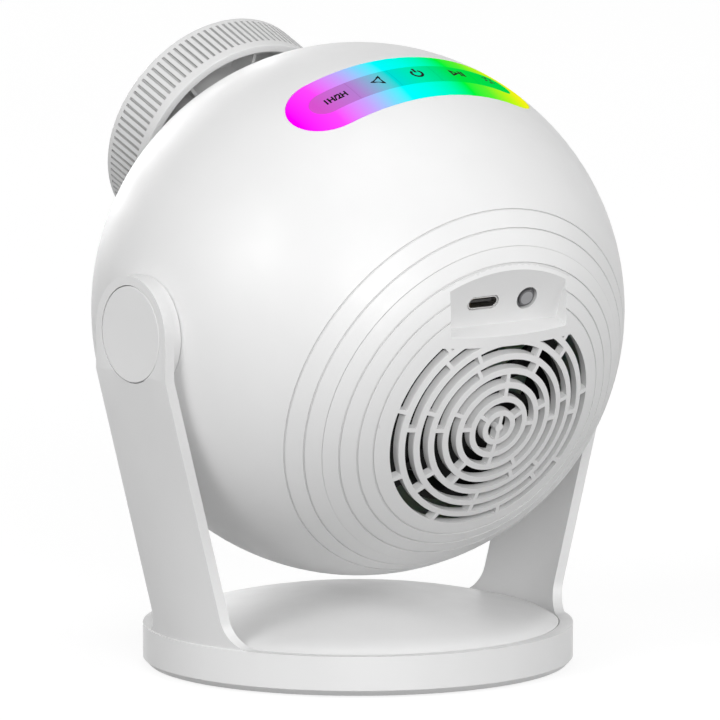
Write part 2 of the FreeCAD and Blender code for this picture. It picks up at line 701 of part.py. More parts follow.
def stand_yoke():
    """Base ring and two arms, moulded in one piece."""
    body = new_body("StandYoke")
    ledge = ring_bore - size.flange_reach
    revolve(body, [
        (size.ring_radius, size.foot_bevel), (size.ring_radius, size.ring_top),
        (ring_bore, size.ring_top), (ring_bore, flange_top), (ledge, flange_top),
        (ledge, plate_top), (ring_bore, plate_top), (ring_bore, size.foot_bevel),
    ])
    half = size.arm_width / 2
    wide = half + size.flare_radius + 1
    knee = ball_height - size.arm_knee
    outer = size.ring_radius - size.arm_inset
    inner = outer - size.arm_wall
    foot = new_sketch(body, "XY_Plane", size.ring_top)
    draw_outline(foot, [
        (on_circle(inner, wide), -wide), (on_circle(outer, wide), -wide),
        (on_circle(outer, wide), wide), (on_circle(inner, wide), wide),
    ], {1: ((ZERO, ZERO), "x", True), 3: ((ZERO, ZERO), "x", False)})
    bend = new_sketch(body, "XY_Plane", knee)
    draw_outline(bend, rectangle(arm_inner, arm_face, -wide, wide))
    loft = body.newObject("PartDesign::AdditiveLoft", "Loft")
    loft.Profile = foot
    loft.Sections = [bend]
    loft.Ruled = True
    upper = new_sketch(body, "XY_Plane", knee)
    draw_outline(upper, rectangle(arm_inner, arm_face, -wide, wide))
    slab = pad(body, upper, size.arm_knee + half + 1)
    round_boss = new_sketch(body, "YZ_Plane", boss_face)
    draw_circle(round_boss, ZERO, ball_height, boss_radius)
    boss = pad(body, round_boss, arm_inner - boss_face + size.arm_wall / 2)
    mirror(body, [loft, slab, boss])
    far = wide + 2
    over = ball_height + half + 3
    flare_top = size.ring_top + size.flare_radius
    foot_half = half + size.flare_radius
    outline = new_sketch(body, "YZ_Plane")
    draw_outline(outline, [
        (foot_half, size.ring_top), (far, size.ring_top), (far, over), (-far, over),
        (-far, size.ring_top), (-foot_half, size.ring_top), (-half, flare_top),
        (-half, ball_height), (half, ball_height), (half, flare_top),
    ], {
        5: ((-foot_half, flare_top), "x", True),
        7: ((ZERO, ball_height), "y", False),
        9: ((foot_half, flare_top), "x", True),
    })
    pocket(body, outline, arm_face * 2 + 4, midplane=True)
    bore = new_sketch(body, "YZ_Plane")
    draw_circle(bore, ZERO, ball_height, size.pin_radius + size.tight_fit)
    pocket(body, bore, arm_face * 2 + 4, midplane=True)
    seats = []
    for radius, depth in ((cap_recess, cap_seat), (size.pin_head_radius + size.loose_fit, pin_seat)):
        seat = new_sketch(body, "YZ_Plane", depth)
        draw_circle(seat, ZERO, ball_height, radius)
        seats.append(pocket(body, seat, size.arm_wall + size.cap_wall, backwards=True))
    mirror(body, seats)
    return body


def base_dome():
    """Domed cover inside the base ring, with four screw bosses."""
    body = new_body("BaseDome")
    centre = size.dome_top - size.dome_curve
    inner_curve = size.dome_curve - size.dome_wall
    skirt = ring_bore - size.loose_fit
    edge = ring_bore - size.dome_shoulder
    shoulder = edge - size.dome_wall
    revolve(body, [
        (ZERO, size.dome_top), (ZERO, size.dome_top - size.dome_wall),
        (shoulder, centre + on_circle(inner_curve, shoulder)),
        (skirt - size.dome_wall, flange_top), (skirt, flange_top), (skirt, size.ring_top),
        (edge, centre + on_circle(size.dome_curve, edge)),
    ], {1: ((ZERO, centre), "x", False), 6: ((ZERO, centre), "x", True)})
    boss_top = centre + on_circle(inner_curve, base_screw_circle) + size.dome_wall / 4
    sketch = new_sketch(body, "XY_Plane", plate_top)
    draw_circle(sketch, base_screw_circle, ZERO, size.base_boss_radius)
    boss = pad(body, sketch, boss_top - plate_top)
    hole = new_sketch(body, "XY_Plane", plate_top)
    draw_circle(hole, base_screw_circle, ZERO, size.screw_radius + size.tight_fit)
    drilled = pocket(body, hole, size.base_screw_length - size.plate_wall + size.pad_wall, backwards=True)
    around(body, [boss, drilled], quantity(4))
    return body


def base_plate():
    """Bottom plate with a bevelled rim, a recess for the pad and four screw seats."""
    body = new_body("BasePlate")
    skirt = ring_bore - size.loose_fit
    recess = pad_radius + size.loose_fit
    low_rim = size.ring_radius - size.foot_bevel + size.pad_proud
    revolve(body, [
        (ZERO, size.pad_wall), (recess, size.pad_wall), (recess, size.pad_proud), (low_rim, size.pad_proud),
        (size.ring_radius, size.foot_bevel), (skirt, size.foot_bevel), (skirt, plate_top), (ZERO, plate_top),
    ])
    cuts = []
    seat_height = size.pad_wall + size.screw_head_height
    steps = (
        (size.screw_head_radius + size.loose_fit, seat_height - size.pad_wall),
        (size.screw_radius + size.loose_fit, plate_top - size.pad_wall),
    )
    for radius, depth in steps:
        sketch = new_sketch(body, "XY_Plane", size.pad_wall)
        draw_circle(sketch, base_screw_circle, ZERO, radius)
        cuts.append(pocket(body, sketch, depth, backwards=True))
    around(body, cuts, quantity(4))
    return body


def ballast_plate():
    radius = base_screw_circle - size.ballast_margin
    return disc("BallastPlate", radius, plate_top, plate_top + size.ballast_wall)


def foot_pad():
    return disc("FootPad", pad_radius, ZERO, size.pad_wall)


def screw(radius, head_radius, head_height, length):
    """A pan-head screw along z: head from 0 down, shank from 0 up."""
    return turned("Screw", [
        (ZERO, -head_height), (head_radius, -head_height), (head_radius, ZERO),
        (radius, ZERO), (radius, length), (ZERO, length),
    ])


def base_screws():
    seat_height = size.pad_wall + size.screw_head_height
    one = screw(size.screw_radius, size.screw_head_radius, size.screw_head_height - size.tight_fit,
                size.base_screw_length)
    circle = base_screw_circle
    spots = [(circle, ZERO), (-circle, ZERO), (ZERO, circle), (ZERO, -circle)]
    return copies(one, [(across, along, seat_height, UPRIGHT) for across, along in spots])


# ---------------------------------------------------------------- pivots

def both_sides(original):
    """A pivot piece and its mirror-like twin, turned half way round the vertical axis."""
    spots = [(ZERO, ZERO, ball_height, UPRIGHT), (ZERO, ZERO, ball_height, HALF_TURN)]
    return copies(original, spots)


def turned_across(name, points):
    """A body turned about the x axis."""
    body = new_body(name)
    revolve(body, points, axis="H_Axis")
    return body


def pivot_caps():
    edge = cap_recess - size.loose_fit
    return both_sides(turned_across("PivotCap", [
        (cap_seat, ZERO), (arm_face, ZERO), (arm_face, edge), (cap_seat, edge),
    ]))


def pivot_pins():
    thread_end = pin_shoulder - size.washer_wall - size.nut_height - size.pin_thread_spare
    return both_sides(turned_across("PivotPin", [
        (thread_end, ZERO), (cap_seat, ZERO), (cap_seat, size.pin_head_radius),
        (pin_seat, size.pin_head_radius), (pin_seat, size.pin_radius), (pin_shoulder, size.pin_radius),
        (pin_shoulder, size.pin_thread_radius), (thread_end, size.pin_thread_radius),
    ]))


def pivot_washers():
    low = size.pin_thread_radius + size.tight_fit
    inner_face = pin_shoulder - size.washer_wall
    return both_sides(turned_across("PivotWasher", [
        (inner_face, low), (pin_shoulder, low),
        (pin_shoulder, size.pin_head_radius), (inner_face, size.pin_head_radius),
    ]))


def pivot_nuts():
    body = new_body("PivotNut")
    outer_face = pin_shoulder - size.washer_wall
    half = size.nut_radius / 2
    flat = size.nut_radius * cosine(quantity(30))
    sketch = new_sketch(body, "YZ_Plane", outer_face - size.nut_height)
    draw_outline(sketch, [
        (-half, -flat), (half, -flat), (size.nut_radius, ZERO),
        (half, flat), (-half, flat), (-size.nut_radius, ZERO),
    ])
    pad(body, sketch, size.nut_height)
    hole = new_sketch(body, "YZ_Plane", outer_face)
    draw_circle(hole, ZERO, ZERO, size.pin_thread_radius + size.tight_fit)
    pocket(body, hole, size.nut_height)
    return both_sides(body)


# ---------------------------------------------------------------- ball

def ball_shell():
    """Ball wall from the seam to the front face, with pivot hubs and the strip's window."""
    body = new_body("BallShell")
    seam_in = on_circle(shell_inner, seam_rear)
    front_out = on_circle(size.ball_radius, front_flat)
    hole_depth = on_circle(shell_inner, size.front_hole)
    centre = (ZERO, ZERO)
    revolve(body, [
        (size.seam_radius, seam_rear), (front_out, front_flat),
        (size.front_hole, front_flat), (size.front_hole, hole_depth), (seam_in, seam_rear),
    ], {0: (centre, "x", True), 3: (centre, "x", False)})
    radii = [size.seam_radius + step for step in (size.shell_groove_near, size.shell_groove_far)]
    ring_grooves(body, radii, size.ball_radius, (ZERO, ZERO))
    window = new_sketch(body, "XZ_Plane")
    points, arcs = obround(size.strip_half, size.strip_radius, -size.strip_shift)
    draw_outline(window, points, arcs)
    pocket(body, window, size.ball_radius + 1)
    hub = new_sketch(body, "YZ_Plane", hub_face)
    draw_circle(hub, ZERO, ZERO, size.hub_radius)
    hub_pad = pad(body, hub, side_flat - hub_face)
    flat = new_sketch(body, "YZ_Plane", side_flat)
    draw_circle(flat, ZERO, ZERO, boss_radius + size.ball_wall)
    flat_cut = pocket(body, flat, size.ball_wall, backwards=True)
    bore = new_sketch(body, "YZ_Plane", hub_face - 1)
    draw_circle(bore, ZERO, ZERO, size.pin_radius + size.tight_fit)
    bore_cut = pocket(body, bore, side_flat - hub_face + 2, backwards=True)
    mirror(body, [hub_pad, flat_cut, bore_cut])
    return body


def cover_outline():
    """Corners and arc centres of the rear cover's outside, from the grille to the seam.

    The grille's dome, the blend and the ball's own curve meet without a crease."""
    edge_radius = size.seam_radius - size.seam_gap
    edge = (edge_radius, -on_circle(size.ball_radius, edge_radius))
    share = (size.ball_radius - size.cover_blend) / size.ball_radius
    blend_centre = (edge[0] * share, edge[1] * share)
    reach = size.cover_curve - size.cover_blend
    dome_centre = (ZERO, blend_centre[1] + on_circle(reach, blend_centre[0]))
    ratio = size.cover_curve / reach
    dome_end = (blend_centre[0] * ratio, dome_centre[1] + (blend_centre[1] - dome_centre[1]) * ratio)
    apex = (ZERO, dome_centre[1] - size.cover_curve)
    return apex, dome_end, edge, dome_centre, blend_centre


def cover_skin():
    """Wall of the rear cover with its spigot and snap bead."""
    body = new_body("CoverSkin")
    apex, dome_end, edge, dome_centre, blend_centre = cover_outline()
    spigot_end = seam_rear + size.spigot_depth
    bead_end = spigot_end - size.snap_width
    bead = spigot_out + size.snap_reach
    shrink = (size.cover_curve - size.cover_wall) / size.cover_curve
    inner_dome_end = (dome_end[0] * shrink, dome_centre[1] + (dome_end[1] - dome_centre[1]) * shrink)
    inner_blend = size.cover_blend - size.cover_wall
    inner_edge = blend_centre[1] - on_circle(inner_blend, spigot_in - blend_centre[0])
    revolve(body, [
        apex, dome_end, edge, (spigot_out, edge[1]), (spigot_out, bead_end), (bead, bead_end),
        (spigot_out, spigot_end), (spigot_in, spigot_end), (spigot_in, inner_edge),
        inner_dome_end, (ZERO, apex[1] + size.cover_wall),
    ], {
        0: (dome_centre, "x", True), 1: (blend_centre, "x", True),
        8: (blend_centre, "x", False), 9: (dome_centre, "x", False),
    })
    return body


def cover_grooves():
    """Rings that cut the cover's decorative grooves."""
    *_, blend_centre = cover_outline()
    steps = (size.cover_groove_near, size.cover_groove_mid, size.cover_groove_far)
    return [turned("GrooveRing", groove_outline(size.seam_radius - step, size.cover_blend, blend_centre))
            for step in steps]


def cover_block():
    """Solid walls around the socket recess, kept inside the dome."""
    apex, dome_end, edge, dome_centre, blend_centre = cover_outline()
    core = turned("CoverCore", [apex, dome_end, edge, (ZERO, edge[1])],
                  {0: (dome_centre, "x", True), 1: (blend_centre, "x", True)})
    half = size.recess_half + size.recess_wall
    top = size.seam_radius - size.cover_groove_near - size.recess_wall
    block = box(-half, half, recess_floor - size.recess_wall, top, apex[1], recess_inner)
    return common(core, block)


def slot_angles(bridges):
    """Directions of the bridges in a ring, staggered from ring to ring."""
    pitch = 360 / bridges
    if bridges == 2:
        start = 90
    elif bridges % 2:
        start = pitch / 4
    else:
        start = 0
    return [start + pitch * number for number in range(bridges)]


def grille_slots():
    """Rings of slots, divided by bridges and cut off under the recess."""
    apex = -cover_outline()[0][1].value
    rear = -apex - 1
    depth = apex + 2 + recess_inner.value + size.cover_wall.value * 2
    pitch = (grille_radius.value - size.slot_first.value) / (size.slot_rings.value - 1)
    rings = []
    for ring in range(int(size.slot_rings.value)):
        outer = size.slot_first.value + pitch * ring
        inner = outer - size.slot_width.value
        slot = Part.makeCylinder(outer, depth, Vector(0, 0, rear))
        slot = slot.cut(Part.makeCylinder(inner, depth, Vector(0, 0, rear)))
        bridge = Part.makeBox(outer + 1, size.bridge_width.value, depth,
                              Vector(0, -size.bridge_width.value / 2, rear))
        bars = []
        for angle in slot_angles(ring + 2):
            bar = bridge.copy()
            bar.rotate(Vector(), Vector(0, 0, 1), angle)
            bars.append(bar)
        rings.append(slot.cut(bars))
    side = grille_radius.value + 1
    below = Part.makeBox(side * 2, side + slot_top.value, depth, Vector(-side, -side, rear))
    return computed(Part.makeCompound(rings).common(below), "GrilleSlots")


def fan_posts():
    """Four posts that carry the fan's ears, and the holes for their screws."""
    posts = []
    holes = []
    ear = fan_circle * cosine(quantity(45))
    *_, blend_centre = cover_outline()
    middle = size.cover_blend - size.cover_wall / 2
    low = blend_centre[1] - on_circle(middle, fan_circle - blend_centre[0])
    post_height = fan_face - low
    hole_height = size.fan_screw_length - size.fan_ear_wall + size.loose_fit
    for across, up in corners(ear, ear):
        posts.append(cylinder(size.fan_post_radius, post_height, across, up, low))
        holes.append(cylinder(size.fan_screw_radius + size.tight_fit, hole_height, across, up,
                              fan_face - hole_height))
    return posts, holes


def socket_opening():
    """Round-ended hole for the socket."""
    body = new_body("SocketOpening")
    sketch = new_sketch(body, "XY_Plane", recess_face)
    straight = (size.socket_width - size.socket_height) / 2
    points, arcs = obround(straight, size.socket_height / 2 + size.loose_fit)
    draw_outline(sketch, points, arcs)
    pad(body, sketch, size.recess_wall)
    return place(body, size.socket_across, socket_up)


def rear_cover():
    """Rear cover with grille, recess, socket opening, button hole and fan posts."""
    posts, screw_holes = fan_posts()
    solid = fuse(cut(cover_skin(), grille_slots()), cover_block(), *posts)
    recess = box(-size.recess_half, size.recess_half, recess_floor, size.seam_radius,
                 -size.ball_radius, recess_face)
    hole_radius = size.button_radius + size.button_step + size.button_gap
    button_hole = cylinder(hole_radius, size.recess_wall, -size.button_across, socket_up, recess_face)
    return cut(solid, recess, socket_opening(), button_hole, *screw_holes, *cover_grooves())


def front_bezel():
    """Front plate with the lens sleeve and four posts for the optics frame."""
    body = new_body("FrontBezel")
    neck = size.front_hole - size.tight_fit * 2
    revolve(body, [
        (ZERO, bezel_rear), (bezel_flange, bezel_rear), (bezel_flange, bezel_step),
        (neck, bezel_step), (neck, front_flat), (ZERO, front_flat),
    ])
    sleeve = new_sketch(body, "XY_Plane", sleeve_rear)
    draw_circle(sleeve, ZERO, lens_rise, size.sleeve_radius)
    pad(body, sleeve, sleeve_front - sleeve_rear)
    posts = new_sketch(body, "XY_Plane", frame_front)
    for across, up in post_spots():
        draw_circle(posts, across, up, size.post_radius)
    pad(body, posts, bezel_rear - frame_front)
    bore = new_sketch(body, "XY_Plane", sleeve_rear)
    draw_circle(bore, ZERO, lens_rise, barrel_radius + size.tight_fit)
    pocket(body, bore, sleeve_front - sleeve_rear, backwards=True)
    holes = new_sketch(body, "XY_Plane", frame_front)
    for across, up in post_spots():
        draw_circle(holes, across, up, size.screw_radius + size.tight_fit)
    pocket(body, holes, size.base_screw_length, backwards=True)
    return body


def post_spots():
    """Where the bezel's posts and their screws stand."""
    circle = bezel_flange - size.post_inset
    high = (circle * cosine(size.post_high_angle), circle * sine(size.post_high_angle))
    low = (circle * cosine(size.post_low_angle), -circle * sine(size.post_low_angle))
    return [high, (-high[0], high[1]), low, (-low[0], low[1])]


# ---------------------------------------------------------------- focus ring and lens

def knurl_grooves():
    """All knurl grooves as one set of bars around the ring."""
    width = size.knurl_width.value
    depth = size.knurl_depth.value
    radius = size.focus_radius.value
    count = int(size.knurl_count.value)
    rear = focus_rear.value + size.knurl_rear.value
    length = focus_front.value - size.knurl_front.value - rear
    one = Part.makeBox(depth + 1, width, length, Vector(radius - depth, -width / 2, rear))
    bars = []
    for number in range(count):
        bar = one.copy()
        bar.rotate(Vector(), Vector(0, 0, 1), 360 * number / count)
        bars.append(bar)
    return computed(Part.makeCompound(bars), "KnurlGrooves")


def focus_ring():
    """Hollow knurled ring with a hub that turns on the lens sleeve."""
    body = new_body("FocusRing")
    inner = size.focus_radius - size.focus_wall
    hub_in = size.sleeve_radius + size.tight_fit
    hub_out = hub_in + size.focus_hub_wall
    hub_rear = focus_rear + size.focus_lip / 2
    web_front = focus_front - size.focus_web_sunk
    web_rear = web_front - size.focus_web
    aperture = barrel_radius + size.focus_aperture
    bevel = size.focus_radius - size.focus_chamfer
    revolve(body, [
        (size.focus_radius - size.focus_lip, focus_rear - size.focus_gap / 3), (size.focus_radius, focus_rear),
        (size.focus_radius, focus_front - size.focus_chamfer), (bevel, focus_front),
        (bevel - size.focus_rim, focus_front), (hub_out, web_front), (aperture, web_front),
        (aperture, web_rear), (hub_in, web_rear), (hub_in, hub_rear), (hub_out, hub_rear),
        (hub_out, web_rear), (inner, web_rear), (inner, hub_rear),
    ])
    rib_rear = focus_rear + size.knurl_rear + size.rib_wall
    sketch = new_sketch(body, "XY_Plane", rib_rear)
    overlap = size.focus_hub_wall / 4
    outline = rectangle(hub_out - overlap, inner + overlap, -size.rib_wall / 2, size.rib_wall / 2)
    draw_outline(sketch, [turned_point(across, along, size.rib_turn) for across, along in outline])
    rib = pad(body, sketch, web_rear - rib_rear + overlap)
    around(body, [rib], size.focus_ribs)
    return cut(body, knurl_grooves())


def lens_barrel():
    """Tube that slides in the sleeve and holds both lenses."""
    front_bore = front_lens_radius + size.tight_fit
    rear_bore = rear_lens_radius + size.tight_fit
    light = rear_lens_radius - size.lens_lip
    return turned("LensBarrel", [
        (barrel_radius, barrel_rear), (barrel_radius, barrel_front),
        (front_bore, barrel_front), (front_bore, front_lens_seat), (light, front_lens_seat),
        (light, rear_lens_seat), (rear_bore, rear_lens_seat), (rear_bore, barrel_rear),
    ])


def lens(name, radius, seat, edge, bulge, direction):
    """A lens with one flat face at seat and one curved face towards direction (+1 or -1)."""
    curve_edge = radius - size.lens_lip
    rim = seat + edge * direction
    curve = (curve_edge * curve_edge + bulge * bulge) / (bulge * 2)
    apex = rim + bulge * direction
    centre = (ZERO, apex - curve * direction)
    return turned(name, [
        (ZERO, seat), (radius, seat), (radius, rim), (curve_edge, rim), (ZERO, apex),
    ], {3: (centre, "x", direction > 0)})


def lens_front():
    return lens("LensFront", front_lens_radius, front_lens_seat,
                size.front_lens_edge, size.front_lens_bulge, 1)


def lens_rear():
    return lens("LensRear", rear_lens_radius, rear_lens_seat,
                size.rear_lens_edge, size.rear_lens_bulge, -1)


def lens_retainer():
    low = front_lens_seat + size.front_lens_edge
    inner = front_lens_radius - size.lens_lip + size.tight_fit
    return turned("LensRetainer", [
        (inner, low), (front_lens_radius, low),
        (front_lens_radius, low + size.retainer_length), (inner, low + size.retainer_length),
    ])


# ---------------------------------------------------------------- disc drive and lamp

def toothed(teeth, low, height, turn):
    """A plain spur gear with straight-sided teeth, turned by an angle in degrees."""
    module = size.gear_module.value
    pitch_radius = module * teeth / 2
    step = 2 * math.pi / teeth
    profile = ((-0.27, -1.15), (-0.13, 0.85), (0.13, 0.85), (0.27, -1.15))
    points = []
    for tooth in range(teeth):
        for share, rise in profile:
            angle = (tooth + share) * step + math.radians(turn)
            radius = pitch_radius + rise * module
            points.append(Vector(radius * math.cos(angle), radius * math.sin(angle), low))
    wire = Part.makePolygon(points + points[:1])
    return Part.Face(wire).extrude(Vector(0, 0, height))


def disc_carrier():
    """Ring gear on the collar, with a seat for the star disc."""
    teeth = computed(toothed(int(size.gear_teeth.value), carrier_rear.value, size.gear_face.value, 0), "Teeth")
    top = carrier_rear + size.carrier_height
    rim = cylinder(size.disc_radius + size.carrier_wall, size.carrier_height - size.gear_face,
                   up=carrier_rear + size.gear_face)
    bore = cylinder(collar_radius + size.tight_fit, size.carrier_height, up=carrier_rear)
    seat = cylinder(size.disc_radius + size.tight_fit, top - disc_seat, up=disc_seat)
    return cut(fuse(teeth, rim), bore, seat)


def star_disc():
    return disc("StarDisc", size.disc_radius, disc_seat, disc_seat + size.disc_wall)


def disc_clip():
    low = disc_seat + size.disc_wall
    inner = size.disc_radius - size.clip_reach
    return turned("DiscClip", rectangle(inner, size.disc_radius, low, low + size.clip_wall))


def drive_pinion():
    gear = computed(toothed(int(size.pinion_teeth.value), carrier_rear.value, size.gear_face.value,
                            90 + 180 / size.pinion_teeth.value), "PinionTeeth")
    return cut(gear, cylinder(size.shaft_radius, size.gear_face, up=carrier_rear))


def motor_shaft():
    end = carrier_rear + size.gear_face + size.shaft_spare
    return disc("MotorShaft", size.shaft_radius, frame_rear - size.shaft_sunk, end)


def drive_motor():
    low = frame_rear - size.motor_length
    can = cylinder(size.motor_radius, size.motor_length, up=low)
    nose = cylinder(size.motor_nose_radius, size.motor_nose_length, up=frame_rear)
    shaft_end = frame_rear - size.shaft_sunk - size.tight_fit
    bore = cylinder(size.shaft_radius + size.tight_fit, size.motor_length, up=shaft_end)
    return cut(fuse(can, nose), bore)


def optics_frame():
    """Plate with lamp tube, disc collar and screw bosses."""
    body = new_body("OpticsFrame")
    sketch = new_sketch(body, "XY_Plane", frame_rear)
    boss_reach = root(sink_screw_across * sink_screw_across
                      + (lens_rise + sink_screw_across) * (lens_rise + sink_screw_across))
    draw_circle(sketch, ZERO, ZERO, boss_reach + size.screw_head_radius + size.frame_margin)
    pad(body, sketch, size.frame_wall)
    tube = new_sketch(body, "XY_Plane", lamp_seat)
    draw_circle(tube, ZERO, lens_rise, frame_bore + size.frame_tube_wall)
    pad(body, tube, frame_rear - lamp_seat)
    collar = new_sketch(body, "XY_Plane", frame_front)
    draw_circle(collar, ZERO, lens_rise, collar_radius)
    pad(body, collar, size.collar_height)
    bosses = new_sketch(body, "XY_Plane", sink_front)
    for across, up in corners(sink_screw_across, sink_screw_across):
        draw_circle(bosses, across, lens_rise + up, size.screw_head_radius)
    pad(body, bosses, frame_rear - sink_front)
    light = new_sketch(body, "XY_Plane", lamp_seat)
    draw_circle(light, ZERO, lens_rise, frame_bore)
    pocket(body, light, frame_front + size.collar_height - lamp_seat, backwards=True)
    nose = new_sketch(body, "XY_Plane", frame_rear)
    draw_circle(nose, ZERO, -pinion_down, size.motor_nose_radius + size.tight_fit)
    pocket(body, nose, size.frame_wall, backwards=True)
    holes = new_sketch(body, "XY_Plane", frame_rear)
    for across, up in post_spots():
        draw_circle(holes, across, up, size.screw_radius + size.loose_fit)
    pocket(body, holes, size.frame_wall, backwards=True)
    drilled = new_sketch(body, "XY_Plane", sink_front)
    for across, up in corners(sink_screw_across, sink_screw_across):
        draw_circle(drilled, across, lens_rise + up, size.screw_radius + size.tight_fit)
    pocket(body, drilled, size.base_screw_length - size.sink_wall + 1, backwards=True)
    return body


def frame_screws():
    one = screw(size.screw_radius, size.screw_head_radius, size.screw_head_height, size.base_screw_length)
    return copies(one, [(across, up, frame_rear, UPRIGHT) for across, up in post_spots()])


def condenser_lens():
    body = lens("Condenser", size.condenser_radius, frame_rear, size.condenser_edge,
                size.condenser_bulge, -1)
    return body


def led_board():
    return disc("LampBoard", size.lamp_board_radius, sink_front, lamp_seat)


def led_emitter():
    half = size.emitter_half
    return extruded("Emitter", rectangle(-half, half, -half, half), lamp_seat, size.emitter_height)


def heat_sink():
    """Finned block behind the lamp board."""
    body = new_body("HeatSink")
    half = sink_screw_across + size.sink_margin
    sketch = new_sketch(body, "XY_Plane", sink_rear)
    draw_outline(sketch, rectangle(-half, half, -half, half))
    pad(body, sketch, size.sink_wall)
    first = -size.fin_pitch * (size.fin_count - 1) / 2
    fin = new_sketch(body, "XY_Plane", sink_rear)
    draw_outline(fin, rectangle(first - size.fin_wall / 2, first + size.fin_wall / 2, -half, half))
    fin_pad = pad(body, fin, size.fin_length, backwards=True)
    direction = [item for item in body.Origin.OriginFeatures if item.Role == "X_Axis"][0]
    pattern = body.newObject("PartDesign::LinearPattern", "Fins")
    pattern.Originals = [fin_pad]
    pattern.Direction = (direction, [""])
    bind(pattern, "Length", size.fin_pitch * (size.fin_count - 1))
    bind(pattern, "Occurrences", size.fin_count)
    body.Tip = pattern
    holes = new_sketch(body, "XY_Plane", sink_rear)
    for across, up in corners(sink_screw_across, sink_screw_across):
        draw_circle(holes, across, up, size.screw_radius + size.loose_fit)
    pocket(body, holes, size.sink_wall, backwards=True)
    return body


def heat_sink_screws():
    one = screw(size.screw_radius, size.screw_head_radius, size.screw_head_height, size.base_screw_length)
    spots = corners(sink_screw_across, sink_screw_across)
    return copies(one, [(across, up, sink_rear, UPRIGHT) for across, up in spots])


# ---------------------------------------------------------------- fan

def fan_frame():
    """Round fan frame with four ears and a spoked motor mount."""
    body = new_body("FanFrame")
    sketch = new_sketch(body, "XY_Plane", fan_face)
    draw_circle(sketch, ZERO, ZERO, fan_radius)
    draw_circle(sketch, ZERO, ZERO, fan_bore)
    pad(body, sketch, size.fan_depth)
    middle = new_sketch(body, "XY_Plane", fan_face)
    draw_circle(middle, ZERO, ZERO, size.fan_hub)
    pad(body, middle, size.fan_plate)
    root_radius = fan_bore + size.fan_wall / 2
    ear = new_sketch(body, "XY_Plane", fan_face)
    draw_outline(ear, rectangle(root_radius, fan_ear_end, -size.fan_ear_half, size.fan_ear_half))
    ear_pad = pad(body, ear, size.fan_ear_wall)
    spoke = new_sketch(body, "XY_Plane", fan_face)
    draw_outline(spoke, rectangle(size.fan_hub - size.fan_plate, root_radius, -size.blade_wall, size.blade_wall))
    spoke_pad = pad(body, spoke, size.fan_plate)
    hole = new_sketch(body, "XY_Plane", fan_face)
    draw_circle(hole, fan_circle, ZERO, size.fan_screw_radius + size.loose_fit)
    drilled = pocket(body, hole, size.fan_ear_wall, backwards=True)
    around(body, [ear_pad, spoke_pad, drilled], quantity(4))
    bearing = new_sketch(body, "XY_Plane", fan_face)
    draw_circle(bearing, ZERO, ZERO, size.screw_radius + size.tight_fit)
    pocket(body, bearing, size.fan_plate, backwards=True)
    return copies(body, [(ZERO, ZERO, ZERO, EIGHTH_TURN)])


def fan_impeller():
    """Hub, shaft stub and pitched blades."""
    body = new_body("FanImpeller")
    low = fan_face + size.fan_plate + size.running_gap
    high = fan_face + size.fan_depth - size.running_gap
    shaft_rear = fan_face + size.running_gap
    revolve(body, [
        (ZERO, shaft_rear), (size.screw_radius, shaft_rear), (size.screw_radius, low),
        (size.fan_hub, low), (size.fan_hub, high), (ZERO, high),
    ])
    tip = fan_bore - size.fan_tip_gap
    middle = (low + high) / 2
    rise = (high - low) / 2 - size.blade_wall
    run = rise * cosine(size.blade_angle) / sine(size.blade_angle)
    blade_root = size.fan_hub - size.blade_wall
    sketch = new_sketch(body, "YZ_Plane", blade_root)
    draw_outline(sketch, [
        (-run - size.blade_wall, middle - rise), (-run + size.blade_wall, middle - rise),
        (run + size.blade_wall, middle + rise), (run - size.blade_wall, middle + rise),
    ])
    blade = pad(body, sketch, on_circle(tip, run + size.blade_wall) - blade_root)
    around(body, [blade], size.fan_blades)
    return body


def fan_screws():
    one = screw(size.fan_screw_radius, size.fan_screw_head, size.screw_head_height, size.fan_screw_length)
    ear = fan_circle * cosine(quantity(45))
    over = FreeCAD.Rotation(Vector(1, 0, 0), 180)
    return copies(one, [(across, up, fan_face + size.fan_ear_wall, over) for across, up in corners(ear, ear)])


# ---------------------------------------------------------------- boards, socket and button

def main_board():
    outline = rectangle(-size.board_half, size.board_half, board_low, board_top)
    return extruded("MainBoard", outline, seam_rear, size.board_length)


def board_chips():
    """Controller chip between two smaller chips, on top of the main board."""
    rear = seam_rear + size.board_length / 2
    half = size.chip_width / 2
    chips = []
    for middle, reach in ((ZERO, half), (size.chip_width * 1.5, half / 2), (-size.chip_width * 1.5, half / 2)):
        chips.append(box(middle - reach, middle + reach, board_top, board_top + size.chip_height,
                         rear, rear + reach * 2))
    group = doc.addObject("Part::Compound", "Chips")
    group.Links = chips
    return group


def slot_prism(width, height, low, length, shrink):
    """An obround bar along z."""
    body = new_body("SlotPrism")
    end = height / 2 - shrink
    sketch = new_sketch(body, "XY_Plane", low)
    points, arcs = obround((width - height) / 2, end)
    draw_outline(sketch, points, arcs)
    pad(body, sketch, length)
    return body


def usb_socket():
    """Sheet-metal shell open to the rear, with the contact tongue inside."""
    rear = recess_face + size.loose_fit
    shell = slot_prism(size.socket_width, size.socket_height, rear, size.socket_depth, ZERO)
    hollow = slot_prism(size.socket_width, size.socket_height, rear, size.socket_depth - size.socket_wall,
                        size.socket_wall)
    half = size.tongue_width / 2
    thin = size.tongue_wall / 2
    tongue = box(-half, half, -thin, thin, rear + size.tongue_sunk, rear + size.socket_depth)
    return fuse(cut(shell, hollow), tongue)


def button_levels():
    """Heights of the button's flange and of its stem's end."""
    flange_rear = recess_inner + size.tight_fit
    flange_front = flange_rear + size.button_flange
    return flange_rear, flange_front, flange_front + size.button_stem


